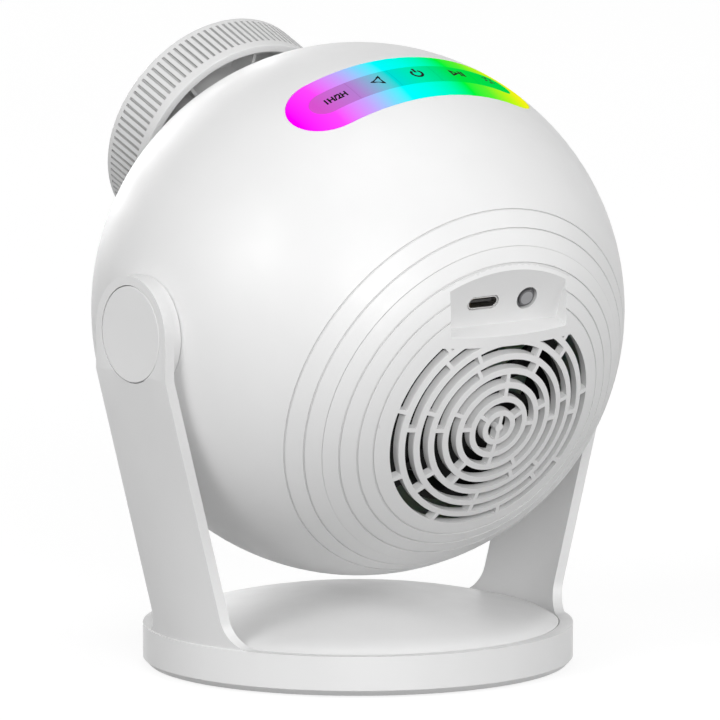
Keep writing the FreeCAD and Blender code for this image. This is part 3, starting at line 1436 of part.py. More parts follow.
def push_button():
    """Round button with a sunk collar and a flange behind the wall."""
    flange_rear, flange_front, stem_end = button_levels()
    sunk = recess_face + size.button_sunk
    collar = size.button_radius + size.button_step
    flange = collar + size.button_lip
    return turned("PushButton", [
        (ZERO, recess_face), (size.button_radius, recess_face), (size.button_radius, sunk), (collar, sunk),
        (collar, flange_rear), (flange, flange_rear), (flange, flange_front),
        (size.button_radius, flange_front), (size.button_radius, stem_end), (ZERO, stem_end),
    ])


def tact_switch():
    """Switch body on the board, with its actuator towards the button."""
    *_, stem_end = button_levels()
    face = stem_end + size.button_travel + size.tight_fit * 2
    rear = face + size.switch_stem
    half = size.switch_width / 2
    block = box(-half, half, board_top, socket_up + size.switch_depth / 2, rear, rear + size.switch_depth)
    return fuse(block, cylinder(size.screw_radius, size.switch_stem, ZERO, socket_up, face))


# ---------------------------------------------------------------- touch strip

def strip_prism(half, radius):
    """An upright obround bar through the top of the ball."""
    body = new_body("StripPrism")
    sketch = new_sketch(body, "XZ_Plane")
    points, arcs = obround(half, radius, -size.strip_shift)
    draw_outline(sketch, points, arcs)
    pad(body, sketch, size.ball_radius + 1, backwards=True)
    return body


def dome_layer(outer, inner):
    return cut(sphere(outer), sphere(inner))


def light_guide():
    """Translucent strip in the shell's window, with a flange under the shell."""
    under = shell_inner - size.loose_fit
    low = under - size.strip_lip_wall
    window = strip_prism(size.strip_half, size.strip_radius - size.strip_gap)
    face = common(dome_layer(size.ball_radius, low), window)
    lip = common(dome_layer(under, low), strip_prism(size.strip_half, size.strip_radius + size.strip_lip))
    return cut(fuse(face, lip), strip_prism(size.panel_half, size.panel_radius + size.strip_gap))


def touch_panel():
    low = shell_inner - size.loose_fit - size.strip_lip_wall
    return common(dome_layer(size.ball_radius, low), strip_prism(size.panel_half, size.panel_radius))


def touch_top():
    """Height at which the touch board's corners clear the underside of the strip."""
    under = shell_inner - size.loose_fit - size.strip_lip_wall
    reach = size.touch_reach + size.strip_shift
    return root(under * under - size.touch_half * size.touch_half - reach * reach) - size.touch_drop


def touch_board():
    outline = rectangle(-size.touch_half, size.touch_half, touch_top() - size.touch_wall, touch_top())
    return extruded("TouchBoard", outline, -size.strip_shift - size.touch_reach, size.touch_reach * 2)


def strip_leds():
    half = size.led_half
    middle = -size.strip_shift
    start = -size.led_pitch * (size.led_count - 1) / 2
    group = doc.addObject("Part::Compound", "Leds")
    lamps = []
    for number in range(int(size.led_count.value)):
        across = start + size.led_pitch * number
        lamps.append(box(across - half, across + half, touch_top(), touch_top() + size.led_height,
                         middle - half, middle + half))
    group.Links = lamps
    return group


# ---------------------------------------------------------------- assembly

def assemble():
    """Make every sub-part and place it."""
    for make in (stand_yoke, base_dome, base_plate, ballast_plate, foot_pad, base_screws,
                 pivot_caps, pivot_pins, pivot_washers, pivot_nuts):
        node(make.__name__, make())
    for make in (ball_shell, rear_cover, front_bezel, optics_frame, frame_screws,
                 fan_frame, fan_impeller, fan_screws, main_board, board_chips,
                 light_guide, touch_panel, touch_board, strip_leds):
        node(make.__name__, seat_in_ball(make()))
    for make in (focus_ring, lens_barrel, lens_front, lens_rear, lens_retainer, disc_carrier, star_disc,
                 disc_clip, condenser_lens, led_board, led_emitter, heat_sink, heat_sink_screws):
        node(make.__name__, seat_in_ball(make(), lens_rise))
    for make in (drive_motor, motor_shaft, drive_pinion):
        node(make.__name__, seat_in_ball(make(), -pinion_down))
    node("usb_socket", seat_in_ball(usb_socket(), socket_up, size.socket_across))
    node("push_button", seat_in_ball(push_button(), socket_up, -size.button_across))
    node("tact_switch", seat_in_ball(tact_switch(), ZERO, -size.button_across))


def check_objects():
    """Stop if any object failed to compute or any sub-part has a bad shape."""
    for thing in doc.Objects:
        if "Invalid" in thing.State or "Error" in thing.State:
            raise RuntimeError(f"{thing.Label} ({thing.TypeId}) failed: {thing.State}")
    for name, thing in NODES.items():
        if thing.Shape.isNull() or not thing.Shape.isValid():
            raise RuntimeError(f"{name} has no valid shape")


assemble()
doc.recompute()
check_objects()
os.makedirs("parts", exist_ok=True)
for name, thing in NODES.items():
    thing.Shape.exportStep(f"parts/{name}.step")
print(f"{len(NODES)} sub-parts written")
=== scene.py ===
"""Looks of a home planetarium projector: a white ball in a fork-shaped stand.

World frame: +Z up, origin at the centre of the flat underside, lens towards -Y, pivots along X.
Ball frame: origin at the ball's centre, x as in the world, y towards the touch strip, z along the lens
axis.
"""

import json
import math

import bmesh
import bpy
from bpy.props import FloatProperty, FloatVectorProperty, PointerProperty
from mathutils import Matrix, Vector

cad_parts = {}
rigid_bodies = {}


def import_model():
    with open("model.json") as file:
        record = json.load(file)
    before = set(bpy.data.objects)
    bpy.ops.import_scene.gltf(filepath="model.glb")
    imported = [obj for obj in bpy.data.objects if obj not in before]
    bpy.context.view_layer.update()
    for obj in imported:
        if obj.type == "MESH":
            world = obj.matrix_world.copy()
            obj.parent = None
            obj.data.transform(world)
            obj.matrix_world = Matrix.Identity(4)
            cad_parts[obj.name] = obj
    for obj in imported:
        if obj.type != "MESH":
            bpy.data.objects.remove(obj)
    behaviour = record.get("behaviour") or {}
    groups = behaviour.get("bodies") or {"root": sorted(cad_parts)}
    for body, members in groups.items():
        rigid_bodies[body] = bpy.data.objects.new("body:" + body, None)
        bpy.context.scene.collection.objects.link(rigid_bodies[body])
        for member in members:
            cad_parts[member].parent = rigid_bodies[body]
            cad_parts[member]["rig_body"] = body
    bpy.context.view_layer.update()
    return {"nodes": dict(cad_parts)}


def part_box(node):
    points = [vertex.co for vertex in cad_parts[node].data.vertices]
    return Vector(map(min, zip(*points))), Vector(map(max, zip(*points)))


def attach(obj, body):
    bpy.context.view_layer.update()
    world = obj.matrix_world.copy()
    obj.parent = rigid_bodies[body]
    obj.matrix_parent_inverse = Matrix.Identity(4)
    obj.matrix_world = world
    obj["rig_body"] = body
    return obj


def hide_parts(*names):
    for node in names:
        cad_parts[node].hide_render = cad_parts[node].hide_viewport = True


bl_info = {
    "name": "Planetarium Projector",
    "version": (1, 0, 0),
    "blender": (4, 5, 0),
    "location": "View3D > Sidebar > Projector",
    "description": "Builds the looks of a planetarium projector round its packed model",
    "category": "Object",
}

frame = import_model()
NODES = frame["nodes"]
MM = 0.001

# Points nearer than this are one, in millimetres: in a CAD mesh, and in a shape that is made here
CAD_MERGE = 0.002
OWN_MERGE = 0.001

# Edges from this angle on are sharp, and rounded edges and corners get this many segments
SHARP_ANGLE = math.radians(28)
ROUND_SEGMENTS = 3

# Focus ring, in millimetres and degrees
RING_RADIUS = 29.5
RING_WALL = 2.7
RING_LIP = 1.7
LIP_SLOPE = 0.43
RING_CHAMFER = 0.9
RING_RIM = 2.0
RING_ROUND = 0.22
KNURLS = 102
KNURL_DEPTH = 0.55
KNURL_START = 2.35
KNURL_END = 2.3
KNURL_SLOPE = 0.16
KNURL_STEPS = 5
KNURL_SUNK_STEPS = 2
HUB_RADIUS = 16.05
HUB_WALL = 2.2
WEB_WALL = 2.8
WEB_SUNK = 1.8
APERTURE = 14.6
RIBS = 8
RIB_TURN = 46
RIB_WALL = 0.9

# The knurls are cut from the faces this near the ring's middle and its outer radius, in millimetres
BAND_REACH = 1.25
BAND_DEPTH = 0.1

# Key panel, in millimetres from its middle: x to the right as seen from behind, y towards the lens
KEY_LINES = (17.5, 5.85, -6.4, -18.3)
KEY_MIDDLE = -0.6
KEY_REACH = 3.8

# Signs on the keys, in the same way. HEIGHT and LINE are shares of the settings' mark height and line
# width, and POWER_GAP is in degrees.
TIMER_SIGN = (-22.9, -0.6)
TIMER_WIDTH = 5.8
TIMER_HEIGHT = 0.58
WORD_BOLD = 0.045
BACK_SIGN = (-10.8, -0.2)
BACK_HEIGHT = 1.1
BACK_LINE = 0.78
POWER_SIGN = (0.6, -0.3)
POWER_GAP = 70
POWER_BAR_LOW = 0.2
POWER_BAR_OUT = 0.3
FORWARD_SIGN = (12.0, -0.1)
FORWARD_HEIGHT = 0.9
FORWARD_LINE = 0.9
FORWARD_BARS = (14.1, 15.0)
FORWARD_BAR_LOW = -1.4
FORWARD_BAR_HIGH = 1.2
STAR_SIGN = (23.6, 0.2)
STAR_RAYS = 6
STAR_LINE = 0.8

# Printed layers: how deep they reach into the panel and how far they stand proud of it
PRINT_SUNK = 0.05 * MM
DIVIDER_LIFT = 0.01 * MM
MARK_LIFT = 0.02 * MM

# Power socket and button, in millimetres
SOCKET_ROUND = 0.05
TONGUE_REACH_X = 3.4
TONGUE_REACH_Y = 0.4
CONTACTS = 12
CONTACT_PITCH = 0.5
CONTACT_SIZE = (0.26, 0.04, 3.4)
CONTACT_HEIGHT = 0.35
CONTACT_SET_BACK = 3.2
BUTTON_RIM = 0.42

# Camera: angles in degrees, distance in metres, lens and offsets from the ball's centre in millimetres
CAMERA_AZIMUTH = 143.63
CAMERA_ELEVATION = 8.995
CAMERA_DISTANCE = 6.5
CAMERA_LENS = 1334.0
CAMERA_RIGHT = 0.505
CAMERA_DOWN = 12.527

# Floor: how far it lies below the part, in millimetres, and how much of its glow a full shade takes away
FLOOR_DROP = 0.05
FLOOR_FADE = 0.75

PIVOT_LOW, PIVOT_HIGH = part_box("pivot_caps")
BALL_CENTRE = (PIVOT_LOW + PIVOT_HIGH) / 2
BALL_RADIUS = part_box("ball_shell")[1].z - BALL_CENTRE.z
TILT = math.radians(20.8)
BALL_FRAME = Matrix.Translation(BALL_CENTRE) @ Matrix((
    (1, 0, 0, 0),
    (0, math.sin(TILT), -math.cos(TILT), 0),
    (0, math.cos(TILT), math.sin(TILT), 0),
    (0, 0, 0, 1),
))
TO_BALL = BALL_FRAME.inverted()

# Decorative grooves, in millimetres: their radii about the lens axis, how near a radius the points of its
# groove lie, how far its faces reach inwards, outwards and forwards, and how far beside it the edges stay
# sharp
COVER_GROOVES = (32.55, 36.0, 39.7)
SHELL_GROOVES = (46.2, 49.5)
GROOVE_NEAR = 0.5
GROOVE_INSIDE = 0.46
GROOVE_OUTSIDE = 0.34
GROOVE_FORWARD = 1.1
GROOVE_CLEAR = 0.16

# Only faces smaller than this are tinted, so that the painted shade of a groove stays in it
FINE_FACE = 6 * MM * MM


# ---------------------------------------------------------------- settings

class ShellSettings(bpy.types.PropertyGroup):
    """White mouldings of the ball, the stand and the focus ring"""
    white: FloatVectorProperty(
        name="White", description="Colour of the white mouldings", subtype="COLOR",
        size=3, min=0, max=1, default=(0.72, 0.72, 0.72))
    ring_grey: FloatVectorProperty(
        name="Ring grey", description="Colour of the focus ring", subtype="COLOR",
        size=3, min=0, max=1, default=(0.64, 0.64, 0.64))
    arm_round: FloatProperty(
        name="Arm rounding", description="Radius of the rounded edges of the stand",
        unit="LENGTH", default=0.8 * MM)
    edge_round: FloatProperty(
        name="Edge rounding", description="Radius of the rounded edges of smaller mouldings",
        unit="LENGTH", default=0.3 * MM)
    fine_round: FloatProperty(
        name="Fine rounding", description="Radius of the finest rounded edges",
        unit="LENGTH", default=0.14 * MM)
    # Painted shade: the grooves take the white darkened by this factor
    groove_painted_shade: FloatProperty(
        name="Groove shade", description="Brightness of the grooves beside the ball's",
        subtype="FACTOR", default=0.9, min=0, max=1)
    # Painted shade: the knurl grooves take the ring's grey darkened by this factor
    knurl_painted_shade: FloatProperty(
        name="Knurl shade", description="Brightness of the knurl grooves beside the ring's",
        subtype="FACTOR", default=0.6, min=0, max=1)
    button_grey: FloatVectorProperty(
        name="Button", description="Colour of the button's face", subtype="COLOR",
        size=3, min=0, max=1, default=(0.3, 0.3, 0.31))
    button_collar: FloatVectorProperty(
        name="Button collar", description="Colour of the button's collar", subtype="COLOR",
        size=3, min=0, max=1, default=(0.1, 0.1, 0.105))


class StripSettings(bpy.types.PropertyGroup):
    """Glowing touch strip and its printed marks"""
    glow: FloatProperty(
        name="Glow", description="Strength of the strip's own light", default=0.78, min=0)
    body: FloatProperty(
        name="Body colour", description="How much of the colour shows with the strip's lamps off",
        subtype="FACTOR", default=0.25, min=0, max=1)
    mark_height: FloatProperty(
        name="Mark height", description="Height of the printed marks", unit="LENGTH", default=3.6 * MM)
    line_width: FloatProperty(
        name="Line width", description="Width of the marks' lines", unit="LENGTH", default=0.7 * MM)
    divider_width: FloatProperty(
        name="Divider width", description="Width of the lines between keys",
        unit="LENGTH", default=0.2 * MM)


class StageSettings(bpy.types.PropertyGroup):
    """Floor, lamps and camera"""
    floor_size: FloatProperty(
        name="Floor size", description="Side of the floor", unit="LENGTH", default=12)
    lamp_power: FloatProperty(
        name="Lamps", description="Power of all lamps together, in watts", default=305, min=0)
    lamp_side: FloatProperty(
        name="Lamp size", description="Side of each square lamp", unit="LENGTH", default=1.9)
    lamp_reach: FloatProperty(
        name="Lamp distance", description="From the ball to the lamps", unit="LENGTH", default=4)
    sky_low: FloatProperty(
        name="Low sky", description="Strength of the light from the horizon", default=0.37, min=0)
    sky_high: FloatProperty(
        name="High sky", description="Strength of the light from straight above", default=0.12, min=0)
    floor_shade: FloatProperty(
        name="Floor shade", description="How much light the floor gives back",
        subtype="FACTOR", default=0.22, min=0, max=1)


# ---------------------------------------------------------------- materials

def new_material(name):
    """A material with an empty shader, its node tree and its shader node."""
    material = bpy.data.materials.new(name)
    material.use_nodes = True
    tree = material.node_tree
    shader = tree.nodes["Principled BSDF"]
    return material, tree, shader


def coordinates(tree):
    return tree.nodes.new("ShaderNodeTexCoord").outputs["Object"]


def noise(tree, scale, detail=2.0, vector=None):
    node = tree.nodes.new("ShaderNodeTexNoise")
    node.inputs["Scale"].default_value = scale
    node.inputs["Detail"].default_value = detail
    tree.links.new(vector or coordinates(tree), node.inputs["Vector"])
    return node.outputs["Fac"]


def spread(tree, value, low, high, source_low=0.3, source_high=0.7):
    """Spread a factor over a range."""
    node = tree.nodes.new("ShaderNodeMapRange")
    node.inputs["From Min"].default_value = source_low
    node.inputs["From Max"].default_value = source_high
    node.inputs["To Min"].default_value = low
    node.inputs["To Max"].default_value = high
    tree.links.new(value, node.inputs["Value"])
    return node.outputs["Result"]


def two_tone(tree, value, first, second):
    """A colour between two others, chosen by a factor."""
    node = tree.nodes.new("ShaderNodeMix")
    node.data_type = "RGBA"
    node.inputs["A"].default_value = (*first, 1)
    node.inputs["B"].default_value = (*second, 1)
    tree.links.new(value, node.inputs["Factor"])
    return node.outputs["Result"]


def add_bump(tree, shader, height, strength, depth):
    node = tree.nodes.new("ShaderNodeBump")
    node.inputs["Strength"].default_value = strength
    node.inputs["Distance"].default_value = depth
    tree.links.new(height, node.inputs["Height"])
    tree.links.new(node.outputs["Normal"], shader.inputs["Normal"])


def shade(colour, factor):
    return tuple(min(1.0, part * factor) for part in colour)


def moulded(name, colour, roughness, grain=5000.0, shine=0.5):
    """Moulded or cast surface: faint mottling, uneven gloss and a fine spark-eroded grain."""
    material, tree, shader = new_material(name)
    tone = spread(tree, noise(tree, 35.0, 3.0), 0, 1)
    mottled = two_tone(tree, tone, shade(colour, 0.98), shade(colour, 1.02))
    tree.links.new(mottled, shader.inputs["Base Color"])
    gloss = spread(tree, noise(tree, 160.0, 4.0), roughness - 0.06, roughness + 0.06)
    tree.links.new(gloss, shader.inputs["Roughness"])
    add_bump(tree, shader, noise(tree, grain, 2.0), 0.25, 0.01 * MM)
    shader.inputs["Specular IOR Level"].default_value = shine
    return material


def ink(name):
    """Matt black printing ink."""
    material, tree, shader = new_material(name)
    tone = spread(tree, noise(tree, 900.0), 0, 1)
    black = two_tone(tree, tone, (0.002, 0.002, 0.002), (0.004, 0.004, 0.004))
    tree.links.new(black, shader.inputs["Base Color"])
    shader.inputs["Roughness"].default_value = 0.7
    shader.inputs["Specular IOR Level"].default_value = 0.05
    return material


def rubber(name):
    """Black anti-slip foam with a pebbled skin."""
    material, tree, shader = new_material(name)
    node = tree.nodes.new("ShaderNodeTexVoronoi")
    node.inputs["Scale"].default_value = 900.0
    tree.links.new(coordinates(tree), node.inputs["Vector"])
    pebbles = node.outputs["Distance"]
    tree.links.new(two_tone(tree, pebbles, (0.012, 0.012, 0.013), (0.035, 0.035, 0.036)),
                   shader.inputs["Base Color"])
    tree.links.new(spread(tree, noise(tree, 300.0), 0.75, 0.95), shader.inputs["Roughness"])
    add_bump(tree, shader, pebbles, 0.6, 0.15 * MM)
    return material


def brushed(name, colour, roughness):
    """Metal with fine lines that run along one axis."""
    material, tree, shader = new_material(name)
    mapping = tree.nodes.new("ShaderNodeMapping")
    mapping.inputs["Scale"].default_value = (1.0, 1.0, 40.0)
    tree.links.new(coordinates(tree), mapping.inputs["Vector"])
    lines = noise(tree, 300.0, 3.0, mapping.outputs["Vector"])
    tree.links.new(two_tone(tree, spread(tree, lines, 0, 1), shade(colour, 0.9), shade(colour, 1.08)),
                   shader.inputs["Base Color"])
    tree.links.new(spread(tree, lines, roughness - 0.08, roughness + 0.08), shader.inputs["Roughness"])
    add_bump(tree, shader, lines, 0.15, 0.01 * MM)
    shader.inputs["Metallic"].default_value = 1.0
    return material


def circuit_board(name):
    """Black solder mask over copper tracks, with tinned pads."""
    material, tree, shader = new_material(name)
    brick = tree.nodes.new("ShaderNodeTexBrick")
    brick.inputs["Scale"].default_value = 260.0
    brick.inputs["Mortar Size"].default_value = 0.06
    brick.inputs["Color1"].default_value = (0.005, 0.006, 0.0055, 1)
    brick.inputs["Color2"].default_value = (0.007, 0.008, 0.0075, 1)
    brick.inputs["Mortar"].default_value = (0.018, 0.021, 0.019, 1)
    tree.links.new(coordinates(tree), brick.inputs["Vector"])
    dots = tree.nodes.new("ShaderNodeTexVoronoi")
    dots.inputs["Scale"].default_value = 420.0
    tree.links.new(coordinates(tree), dots.inputs["Vector"])
    pads = spread(tree, dots.outputs["Distance"], 1, 0, 0.2, 0.24)
    mix = tree.nodes.new("ShaderNodeMix")
    mix.data_type = "RGBA"
    mix.inputs["B"].default_value = (0.62, 0.62, 0.6, 1)
    tree.links.new(pads, mix.inputs["Factor"])
    tree.links.new(brick.outputs["Color"], mix.inputs["A"])
    tree.links.new(mix.outputs["Result"], shader.inputs["Base Color"])
    tree.links.new(pads, shader.inputs["Metallic"])
    tree.links.new(spread(tree, noise(tree, 200.0), 0.25, 0.4), shader.inputs["Roughness"])
    add_bump(tree, shader, brick.outputs["Fac"], 0.3, 0.03 * MM)
    return material


def coated_glass(name, tint, coat):
    """Clear glass with a coloured anti-reflection coat."""
    material, tree, shader = new_material(name)
    clear = two_tone(tree, noise(tree, 30.0), tint, shade(tint, 0.97))
    tree.links.new(clear, shader.inputs["Base Color"])
    tree.links.new(spread(tree, noise(tree, 80.0), 0.01, 0.04), shader.inputs["Roughness"])
    shader.inputs["Transmission Weight"].default_value = 1.0
    shader.inputs["IOR"].default_value = 1.52
    shader.inputs["Coat Weight"].default_value = 0.3
    shader.inputs["Coat Tint"].default_value = (*coat, 1)
    shader.inputs["Coat Roughness"].default_value = 0.03
    return material


def star_film(name):
    """Black film with clear pinholes of different sizes."""
    material, tree, shader = new_material(name)
    stars = tree.nodes.new("ShaderNodeTexVoronoi")
    stars.inputs["Scale"].default_value = 650.0
    tree.links.new(coordinates(tree), stars.inputs["Vector"])
    size = spread(tree, noise(tree, 240.0), 0.02, 0.22)
    hole = tree.nodes.new("ShaderNodeMath")
    hole.operation = "LESS_THAN"
    tree.links.new(stars.outputs["Distance"], hole.inputs[0])
    tree.links.new(size, hole.inputs[1])
    tree.links.new(two_tone(tree, hole.outputs[0], (0.012, 0.012, 0.016), (0.75, 0.8, 0.9)),
                   shader.inputs["Base Color"])
    tree.links.new(spread(tree, noise(tree, 120.0), 0.15, 0.3), shader.inputs["Roughness"])
    return material


# Colours along the glowing band and the key panel: place across in millimetres, then the colour
STRIP_COLOURS = (
    (-31.0, (0.92, 0.92, 0.01)),
    (-24.0, (0.46, 0.94, 0.01)),
    (-18.0, (0.1, 0.9, 0.03)),
    (-12.0, (0.0, 0.9, 0.04)),
    (-6.0, (0.0, 0.94, 0.46)),
    (0.0, (0.0, 0.95, 0.77)),
    (7.0, (0.0, 0.94, 0.97)),
    (12.0, (0.2, 0.67, 0.96)),
    (18.0, (0.55, 0.35, 0.94)),
    (26.0, (0.95, 0.06, 0.93)),
    (34.0, (0.95, 0.0, 0.93)),
)
PANEL_COLOURS = (
    (-28.0, (0.0, 0.7, 0.08)),
    (-12.0, (0.0, 0.76, 0.05)),
    (-6.0, (0.0, 0.74, 0.24)),
    (0.0, (0.0, 0.8, 0.42)),
    (7.0, (0.0, 0.7, 0.66)),
    (12.0, (0.2, 0.45, 0.65)),
    (18.0, (0.45, 0.2, 0.62)),
    (28.0, (0.65, 0.08, 0.59)),
)


def rainbow(name, colours, strip, darker=0.0):
    """Frosted acrylic lit from below, its colour changing along the strip."""
    material, tree, shader = new_material(name)
    split = tree.nodes.new("ShaderNodeSeparateXYZ")
    tree.links.new(coordinates(tree), split.inputs["Vector"])
    start = colours[0][0] * MM
    end = colours[-1][0] * MM
    along = spread(tree, split.outputs["X"], 0, 1, start, end)
    ramp = tree.nodes.new("ShaderNodeValToRGB")
    stops = ramp.color_ramp.elements
    for across, colour in colours[1:-1]:
        stops.new((across * MM - start) / (end - start))
    for stop, (across, colour) in zip(stops, colours):
        stop.color = (*shade(colour, 1 - darker), 1)
    tree.links.new(along, ramp.inputs["Fac"])
    dim = tree.nodes.new("ShaderNodeVectorMath")
    dim.operation = "SCALE"
    dim.inputs["Scale"].default_value = strip.body
    tree.links.new(ramp.outputs["Color"], dim.inputs[0])
    tree.links.new(dim.outputs["Vector"], shader.inputs["Base Color"])
    tree.links.new(ramp.outputs["Color"], shader.inputs["Emission Color"])
    shader.inputs["Emission Strength"].default_value = strip.glow
    shader.inputs["Specular IOR Level"].default_value = 0.0
    tree.links.new(spread(tree, noise(tree, 150.0), 0.36, 0.5), shader.inputs["Roughness"])
    add_bump(tree, shader, noise(tree, 4000.0), 0.1, 0.005 * MM)
    return material


# ---------------------------------------------------------------- shapes

def link(name, data):
    """An object with this mesh, lamp or camera, in the scene."""
    thing = bpy.data.objects.new(name, data)
    bpy.context.scene.collection.objects.link(thing)
    return thing


def shaped(name, work):
    """An object with the shape that was worked out, in the scene."""
    mesh = bpy.data.meshes.new(name)
    work.to_mesh(mesh)
    work.free()
    return link(name, mesh)


def paint(thing, material):
    thing.data.materials.clear()
    thing.data.materials.append(material)


def paint_nodes(material, *names):
    """Give CAD nodes a finish, in their own material slots."""
    for name in names:
        for slot in NODES[name].material_slots:
            slot.material = material


def soften(thing, radius):
    """Round the marked edges of a piece."""
    bevel = thing.modifiers.new("Rounding", "BEVEL")
    bevel.width = radius
    bevel.segments = ROUND_SEGMENTS
    bevel.limit_method = "WEIGHT"
    bevel.harden_normals = True
    bevel.loop_slide = False


def in_ball(point):
    """A point in the ball's own frame, in millimetres."""
    return TO_BALL @ point / MM


def from_axis(local):
    """Distance from the lens axis."""
    return math.hypot(local.x, local.y)


def groove_floors():
    """Each decorative groove: its radius, and the place along the lens axis that its faces reach."""
    floors = []
    for node, radii in (("rear_cover", COVER_GROOVES), ("ball_shell", SHELL_GROOVES)):
        places = [in_ball(vertex.co) for vertex in NODES[node].data.vertices]
        for radius in radii:
            rearmost = min(place.z for place in places if abs(from_axis(place) - radius) < GROOVE_NEAR)
            floors.append((radius, rearmost + GROOVE_FORWARD))
    return floors


def groove_test(margin=0.0):
    """A test for points in the ball's decorative grooves, or within a margin of them."""
    floors = groove_floors()

    def in_groove(point):
        local = in_ball(point)
        across = from_axis(local)
        for radius, floor in floors:
            if -GROOVE_INSIDE - margin < across - radius < GROOVE_OUTSIDE + margin and local.z < floor:
                return True
        return False

    return in_groove


def smooth_copy(name, node, material, radius=0.0, flat=0.4, share=None):
    """A merged, smoothly shaded copy of a CAD node that stands for it.

    Sharp edges are rounded by the radius, times their share where one is given. Faces that lie within
    `flat` degrees of each other are joined first.
    """
    mesh = NODES[node].data.copy()
    work = bmesh.new()
    work.from_mesh(mesh)
    bmesh.ops.remove_doubles(work, verts=work.verts, dist=CAD_MERGE * MM)
    if flat:
        limit = math.radians(flat)
        bmesh.ops.dissolve_limit(work, angle_limit=limit, verts=work.verts, edges=work.edges)
    for face in work.faces:
        face.smooth = True
        face.material_index = 0
    weights = work.edges.layers.float.new("bevel_weight_edge")
    for edge in work.edges:
        edge.smooth = edge.calc_face_angle(0) < SHARP_ANGLE
        if radius and not edge.smooth:
            middle = (edge.verts[0].co + edge.verts[1].co) / 2
            edge[weights] = share(middle) if share else 1.0
    work.to_mesh(mesh)
    work.free()
    custom = mesh.attributes.get("custom_normal")
    if custom:
        mesh.attributes.remove(custom)
    thing = link(name, mesh)
    paint(thing, material)
    if radius:
        soften(thing, radius)
    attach(thing, NODES[node]["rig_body"])
    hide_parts(node)
    return thing


def tint_faces(thing, material, chosen):
    """Give the faces whose middle passes a test a material of their own, such as the painted shade of the
    grooves.
    """
    thing.data.materials.append(material)
    index = len(thing.data.materials) - 1
    for face in thing.data.polygons:
        if face.area < FINE_FACE and chosen(face.center):
            face.material_index = index


def round_corner(before, corner, after, radius):
    """The points of a rounded corner between two straight runs of a section."""
    corner = Vector(corner)
    start = corner + (Vector(before) - corner).normalized() * radius
    end = corner + (Vector(after) - corner).normalized() * radius
    points = []
    for step in range(ROUND_SEGMENTS + 1):
        part = step / ROUND_SEGMENTS
        points.append(start.lerp(corner, part).lerp(corner.lerp(end, part), part))
    return points


def ring_section(rear, front):
    """Section of the focus ring: distance from the lens axis and place along it, in millimetres."""
    inner = RING_RADIUS - RING_WALL
    web_front = front - WEB_SUNK
    web_rear = web_front - WEB_WALL
    hub_rear = rear + RING_LIP / 2
    hub_out = HUB_RADIUS + HUB_WALL
    outline = (
        (RING_RADIUS - RING_LIP, rear - LIP_SLOPE), (RING_RADIUS, rear),
        (RING_RADIUS, rear + KNURL_START), (RING_RADIUS, front - KNURL_END),
        (RING_RADIUS, front - RING_CHAMFER), (RING_RADIUS - RING_CHAMFER, front),
        (RING_RADIUS - RING_CHAMFER - RING_RIM, front), (hub_out, web_front), (APERTURE, web_front),
        (APERTURE, web_rear), (HUB_RADIUS, web_rear), (HUB_RADIUS, hub_rear), (hub_out, hub_rear),
        (hub_out, web_rear), (inner, web_rear), (inner, hub_rear),
    )
    straight = (2, 3)
    points = []
    for place, corner in enumerate(outline):
        if place in straight:
            points.append(corner)
            continue
        after = outline[(place + 1) % len(outline)]
        points += [tuple(point) for point in round_corner(outline[place - 1], corner, after, RING_ROUND)]
    return points


# ---------------------------------------------------------------- printed marks

def on_sheet(across, along):
    """A point of the marks' flat sheet, from millimetres."""
    return across * MM, along * MM


def stroke(work, start, end, width):
    """A straight bar between two points of the marks' flat sheet."""
    start = Vector((*start, 0))
    end = Vector((*end, 0))
    run = end - start
    bar = bmesh.ops.create_grid(work, x_segments=4, y_segments=1, size=0.5)["verts"]
    stretch = Matrix.Diagonal((run.length, width, 1, 1))
    turn = Matrix.Rotation(math.atan2(run.y, run.x), 4, "Z")
    bmesh.ops.transform(work, matrix=Matrix.Translation((start + end) / 2) @ turn @ stretch, verts=bar)


def triangle_mark(work, centre, height, width, points_left):
    """An outlined triangle that points left or right."""
    reach = height / math.sqrt(3)
    made = bmesh.ops.create_circle(work, cap_ends=True, segments=3, radius=reach)["verts"]
    face = made[0].link_faces[0]
    turn = Matrix.Rotation(math.radians(90 if points_left else -90), 4, "Z")
    bmesh.ops.transform(work, matrix=Matrix.Translation((*centre, 0)) @ turn, verts=made)
    bmesh.ops.inset_region(work, faces=[face], thickness=width, use_boundary=True, use_even_offset=True)
    bmesh.ops.delete(work, geom=[face], context="FACES_ONLY")


def arc_mark(work, centre, radius, width, gap):
    """A ring with a gap at its top."""
    middle = Vector((*centre, 0))
    inner = work.verts.new(middle + Vector((0, radius - width, 0)))
    outer = work.verts.new(middle + Vector((0, radius, 0)))
    edge = work.edges.new((inner, outer))
    turned = Matrix.Rotation(math.radians(gap / 2), 3, "Z")
    bmesh.ops.rotate(work, cent=middle, matrix=turned, verts=[inner, outer])
    bmesh.ops.spin(work, geom=[inner, outer, edge], cent=middle, axis=(0, 0, 1),
                   angle=math.radians(360 - gap), steps=36)


def word_mark(work, words, centre, width, height):
    """Printed letters and numbers, scaled to a width and a height."""
    curve = bpy.data.curves.new("words", "FONT")
    curve.body = words
    curve.offset = WORD_BOLD
    thing = link("words", curve)
    mesh = bpy.data.meshes.new_from_object(thing)
    bpy.data.objects.remove(thing)
    places = [vertex.co for vertex in mesh.vertices]
    low = Vector(min(place[axis] for place in places) for axis in range(3))
    high = Vector(max(place[axis] for place in places) for axis in range(3))
    scale = Matrix.Diagonal((width / (high.x - low.x), height / (high.y - low.y), 1, 1))
    middle = (low + high) / 2
    mesh.transform(Matrix.Translation((*centre, 0)) @ scale @ Matrix.Translation(-middle))
    work.from_mesh(mesh)
    bpy.data.meshes.remove(mesh)


